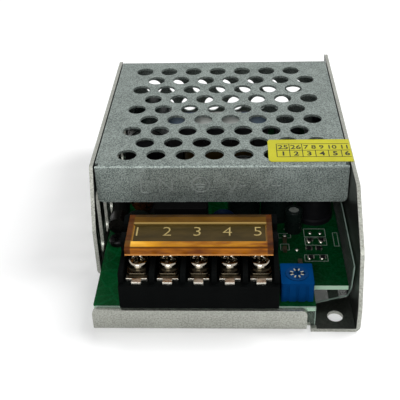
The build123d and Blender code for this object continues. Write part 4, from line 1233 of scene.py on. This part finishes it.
@dataclass
class Trimmer:
    """The blue trimmer: ribbed body, turning rotor and its pale marks."""

    x: float = 21.35
    y: float = -46.75
    top: float = 14.45
    count: int = 8
    petal_inner: float = 1.15
    petal_outer: float = 2.0
    blue: Moulding = Moulding("trimmer_blue", (0.0006, 0.032, 0.12), 0.4, 1.0, 0.01, 0.005)
    rotor: Moulding = Moulding("rotor_blue", (0.0012, 0.028, 0.10), 0.4, specular=0.05)
    pale: Moulding = Moulding("petal_beige", (0.30, 0.29, 0.24), 0.4)

    def build(self) -> None:
        """Rounds the body and sets small pale petals round the cross slot."""
        seated(node_copy("trimmer_body", "trimmer_case", 0.22, 3), self.blue.material())
        seated(node_copy("trimmer_rotor", "trimmer_dial", 0.08), self.rotor.material(), KNOB)
        shell = Shell()
        for k in range(self.count):
            turn = FULL_TURN * (k + 0.5) / self.count
            c, s = math.cos(turn), math.sin(turn)
            path = [(self.x + r * c, self.y + r * s, self.top) for r in (self.petal_inner, self.petal_outer)]
            shell.stroke(flat_bar(0.2, 0.09), path)
        seated(shell.piece("rotor_petals"), self.pale.material(), KNOB)


@dataclass
class InnerParts:
    """Everything soldered to the board under the cover."""

    choke_x: float = -21.0
    choke_y: float = -8.6
    choke_z: float = 17.3
    wire_radius: float = 0.45
    turns: int = 13
    half_span_deg: float = 56.0
    section: tuple = ((8.2, -3.7), (8.5, -3.4), (8.5, 3.4), (8.2, 3.7), (3.1, 3.7), (2.8, 3.4), (2.8, -3.4),
                      (3.1, -3.7))
    finishes: tuple = (
        (("bridge_rectifier", "switch_transistor", "output_diode", "control_circuit", "output_inductor"),
         Moulding("moulded_black", (0.005, 0.005, 0.006), 0.5, specular=0.08)),
        (("transformer_core_lower", "transformer_core_upper", "choke_core"),
         Moulding("ferrite_grey", (0.012, 0.012, 0.013), 0.6, 0.5, 0.02)),
        (("transformer_bobbin",), Moulding("bobbin_black", (0.006, 0.006, 0.006), 0.5, specular=0.08)),
        (("transformer_winding",), Moulding("winding_tape", (0.035, 0.022, 0.006), 0.4, 1.2, 0.03)),
        (("core_tape",), Moulding("core_tape_blue", (0.02, 0.04, 0.065), 0.3, 1.5, 0.03)),
        (("transformer_label",), Moulding("label_grey", (0.26, 0.27, 0.255), 0.5)),
        (("output_capacitor_sleeve_1", "output_capacitor_sleeve_2", "output_capacitor_sleeve_3",
          "bulk_capacitor_sleeve", "auxiliary_capacitor_sleeve"),
         Moulding("sleeve_black", (0.004, 0.007, 0.006), 0.28, 1.5, 0.02, 0.12)),
        (("output_capacitor_can_1", "output_capacitor_can_2", "output_capacitor_can_3", "bulk_capacitor_can"),
         Plated("can_aluminium", (0.2, 0.21, 0.2), 0.4)),
        (("auxiliary_capacitor_can",), Moulding("can_pale", (0.13, 0.14, 0.13), 0.5)),
        (("fuse_tube",), Moulding("fuse_sleeve", (0.005, 0.006, 0.005), 0.6, specular=0.04)),
        # near black: painted shade on the fuse caps, which sit in shade under the left wall and the cover
        (("fuse_caps",), Plated("fuse_cap_metal", (0.015, 0.014, 0.012), 0.4)),
        (("thermistor",), Moulding("thermistor_black", (0.003, 0.005, 0.004), 0.6, specular=0.03)),
        (("safety_capacitor",), Moulding("safety_blue", (0.002, 0.007, 0.02), 0.4, specular=0.05)),
        (("filter_capacitor",), Moulding("filter_box_grey", (0.003, 0.003, 0.003), 0.5, specular=0.02)),
        (("insulating_pad",), Moulding("pad_grey", (0.08, 0.08, 0.078), 0.7)),
        (("transistor_clamp",), Plated("clamp_steel", (0.15, 0.155, 0.15), 0.35)),
        (("optocoupler",), Moulding("coupler_white", (0.3, 0.29, 0.25))),
        (("chip_resistors",), Moulding("chip_black", (0.006, 0.006, 0.007), 0.35)),
        (("chip_capacitors",), Moulding("chip_tan", (0.05, 0.038, 0.022), 0.4)),
        (("axial_resistors",), Banded()))
    # darker than bare copper: partly a red-brown enamel, partly painted shade under the cover
    copper: Plated = Plated("copper_wire", (0.18, 0.055, 0.022), 0.3)

    def choke_wire(self, start: float) -> Shell:
        """Winds round wire on one half of the ring, each turn a rounded rectangle at its own angle.

        Args:
            start: the angle of that half's middle.

        Returns:
            The shell of all turns.
        """
        shell = Shell()
        corner = np.array(self.section)
        wire = [(self.wire_radius * math.cos(a), self.wire_radius * math.sin(a)) for a in circle(6)]
        for step in np.linspace(-self.half_span_deg, self.half_span_deg, self.turns):
            turn = math.radians(step) + start
            c, s = math.cos(turn), math.sin(turn)
            path = np.stack([self.choke_x + corner[:, 0] * c, self.choke_y + corner[:, 1],
                             self.choke_z + corner[:, 0] * s], axis=-1)
            shell.stroke(wire, path, (-s, 0, c), True)
        return shell

    def build(self) -> None:
        """Dresses each node, and winds the choke."""
        for nodes, finish in self.finishes:
            dress(nodes, finish.material())
        copper = self.copper.material()
        for number, start in enumerate((math.pi, 0.0), start=1):
            seated(self.choke_wire(start).piece(f"choke_turns_{number}"), copper)
        dress(["choke_winding_1", "choke_winding_2"], copper)


@dataclass
class ChipEnds:
    """The tinned ends of the small flat parts."""

    top: float = 7.8
    height: float = 0.59
    length: float = 2.0
    width: float = 1.25
    end: float = 0.38
    coat: float = 0.03
    spots: tuple = ((27.2, -23.2), (30.8, -23.2), (26.9, -31.6), (30.4, -31.6), (26.6, -27.4), (29.6, -27.4))

    def build(self) -> None:
        """Adds a small rounded block over each end of every resistor."""
        shell = Shell()
        half = self.width / 2 + self.coat
        for x, y in self.spots:
            for side in (-1, 1):
                a, b = sorted(x + side * (self.length / 2 + end) for end in (self.coat, -self.end))
                low, high = (a, y - half, self.top - 0.01), (b, y + half, self.top + self.height)
                shell.tube(block(low, high, 0.08, 2))
        seated(shell.piece("chip_ends"), SOLDER.material())


@dataclass
class Studio:
    """Pale floor, soft light and the camera.

    floor_fade gives a near and a far distance from the middle, and the floor's white share at each.
    """

    eye: tuple[float, float, float] = (4.1, -214.2, 155.5)
    ahead: tuple[float, float, float] = (-0.0458, 0.8429, -0.5361)
    up: tuple[float, float, float] = (0.0046, 0.5369, 0.8437)
    focal_px: float = 767.24
    image_px: float = 400.0
    rise_px: float = 30.0
    sensor_mm: float = 36.0
    floor_half_m: float = 3.0
    floor_fade: tuple[float, float, float, float] = (0.25, 0.55, 0.28, 1.0)
    surround: float = 0.11

    def turned(self, side: np.ndarray, back: np.ndarray, place: Sequence[float]) -> Matrix:
        """Works out the matrix of a camera or lamp.

        Args:
            side: its right.
            back: away from what it faces.
            place: where it is, in metres.

        Returns:
            The matrix.
        """
        turn = np.eye(4)
        side = side / np.linalg.norm(side)
        turn[:3] = np.stack([side, np.cross(back, side), back, place], axis=1)
        return Matrix(turn.tolist())

    def camera(self) -> None:
        """Places the camera at the photograph's viewing angle; its frame is lowered by a small shift."""
        data = bpy.data.cameras.new("camera")
        data.sensor_width = self.sensor_mm
        data.lens = self.focal_px / self.image_px * data.sensor_width
        data.shift_y = -self.rise_px / self.image_px
        data.clip_start = 0.01
        camera = placed("camera", data)
        ahead = np.array(self.ahead) / np.linalg.norm(self.ahead)
        camera.matrix_world = self.turned(np.cross(ahead, self.up), -ahead, np.array(self.eye) * MM)
        bpy.context.scene.camera = camera

    def lamp(self, name: str, place: Sequence[float], size: float, watts: float,
             mirrored: bool = False) -> None:
        """Hangs a square soft lamp that faces the object.

        Args:
            name: its name.
            place: where it hangs, in metres.
            size: its side, in metres.
            watts: its power.
            mirrored: it is seen in metal.
        """
        data = bpy.data.lights.new(name, "AREA")
        data.size = size
        data.energy = watts
        lamp = placed(name, data)
        back = np.array(place, float) - np.array((0.0, 0.0, 0.02))
        back /= np.linalg.norm(back)
        lamp.matrix_world = self.turned(np.cross(UP, back), back, place)
        lamp.visible_glossy = mirrored

    def world(self) -> None:
        """White for the camera, for mirrors and through glass; soft grey light elsewhere."""
        world = bpy.data.worlds.new("surround")
        bpy.context.scene.world = world
        tree = Nodes(world, True)
        seen = tree.node("ShaderNodeLightPath", {}).outputs
        share = tree.sum("ADD", seen["Is Camera Ray"], seen["Is Transmission Ray"])
        share = tree.sum("ADD", share, seen["Is Glossy Ray"], True)
        plain = tree.node("ShaderNodeBackground", {0: (0.95, 0.97, 1.0, 1.0), 1: self.surround})
        bright = tree.node("ShaderNodeBackground", {0: (1.0, 1.0, 1.0, 1.0), 1: 1.0})
        tree.blend(share, plain, bright, "ShaderNodeOutputWorld")

    def floor(self) -> None:
        """Lays a plain pale floor; the camera sees it lit and partly white, so a soft shadow stays."""
        half = self.floor_half_m
        mesh = bpy.data.meshes.new("floor")
        mesh.from_pydata([(-half, -half, 0), (half, -half, 0), (half, half, 0), (-half, half, 0)], [],
                         [(0, 1, 2, 3)])
        floor = placed("floor", mesh)
        material = bpy.data.materials.new("floor_white")
        tree = Nodes(material, True)
        seen = tree.node("ShaderNodeLightPath", {}).outputs
        place = tree.node("ShaderNodeTexCoord", {}).outputs["Object"]
        reach = tree.node("ShaderNodeVectorMath", {0: place}, operation="LENGTH").outputs["Value"]
        fade = tree.node("ShaderNodeMapRange", {0: reach, **dict(enumerate(self.floor_fade, start=1))})
        direct = tree.sum("ADD", seen["Is Camera Ray"], seen["Is Glossy Ray"], True)
        matt = tree.node("ShaderNodeBsdfDiffuse", {0: (0.94, 0.94, 0.94, 1.0)})
        white = tree.node("ShaderNodeEmission", {})
        tree.blend(tree.sum("MULTIPLY", direct, fade.outputs[0]), matt, white, "ShaderNodeOutputMaterial")
        mesh.materials.append(material)

    def build(self) -> None:
        """Sets the view transform, then places camera, world, floor and lamps."""
        bpy.context.scene.view_settings.view_transform = "Standard"
        self.camera()
        self.world()
        self.floor()
        self.lamp("right_softbox", (0.46, 0.16, 0.58), 0.42, 6.0)
        self.lamp("rear_softbox", (0.05, 0.40, 0.62), 0.35, 1.8)
        self.lamp("front_softbox", (-0.08, -0.50, 0.36), 0.30, 2.2, True)


def main() -> None:
    """Builds the studio and every sub-assembly, in order."""
    logging.basicConfig(level=logging.INFO, format="%(name)s: %(message)s")
    for assembly in (Studio, Case, Seal, Terminals, Flap, Board, Trimmer, InnerParts, ChipEnds):
        log.info("building %s", assembly.__name__)
        assembly().build()


if __name__ == "__main__":
    main()
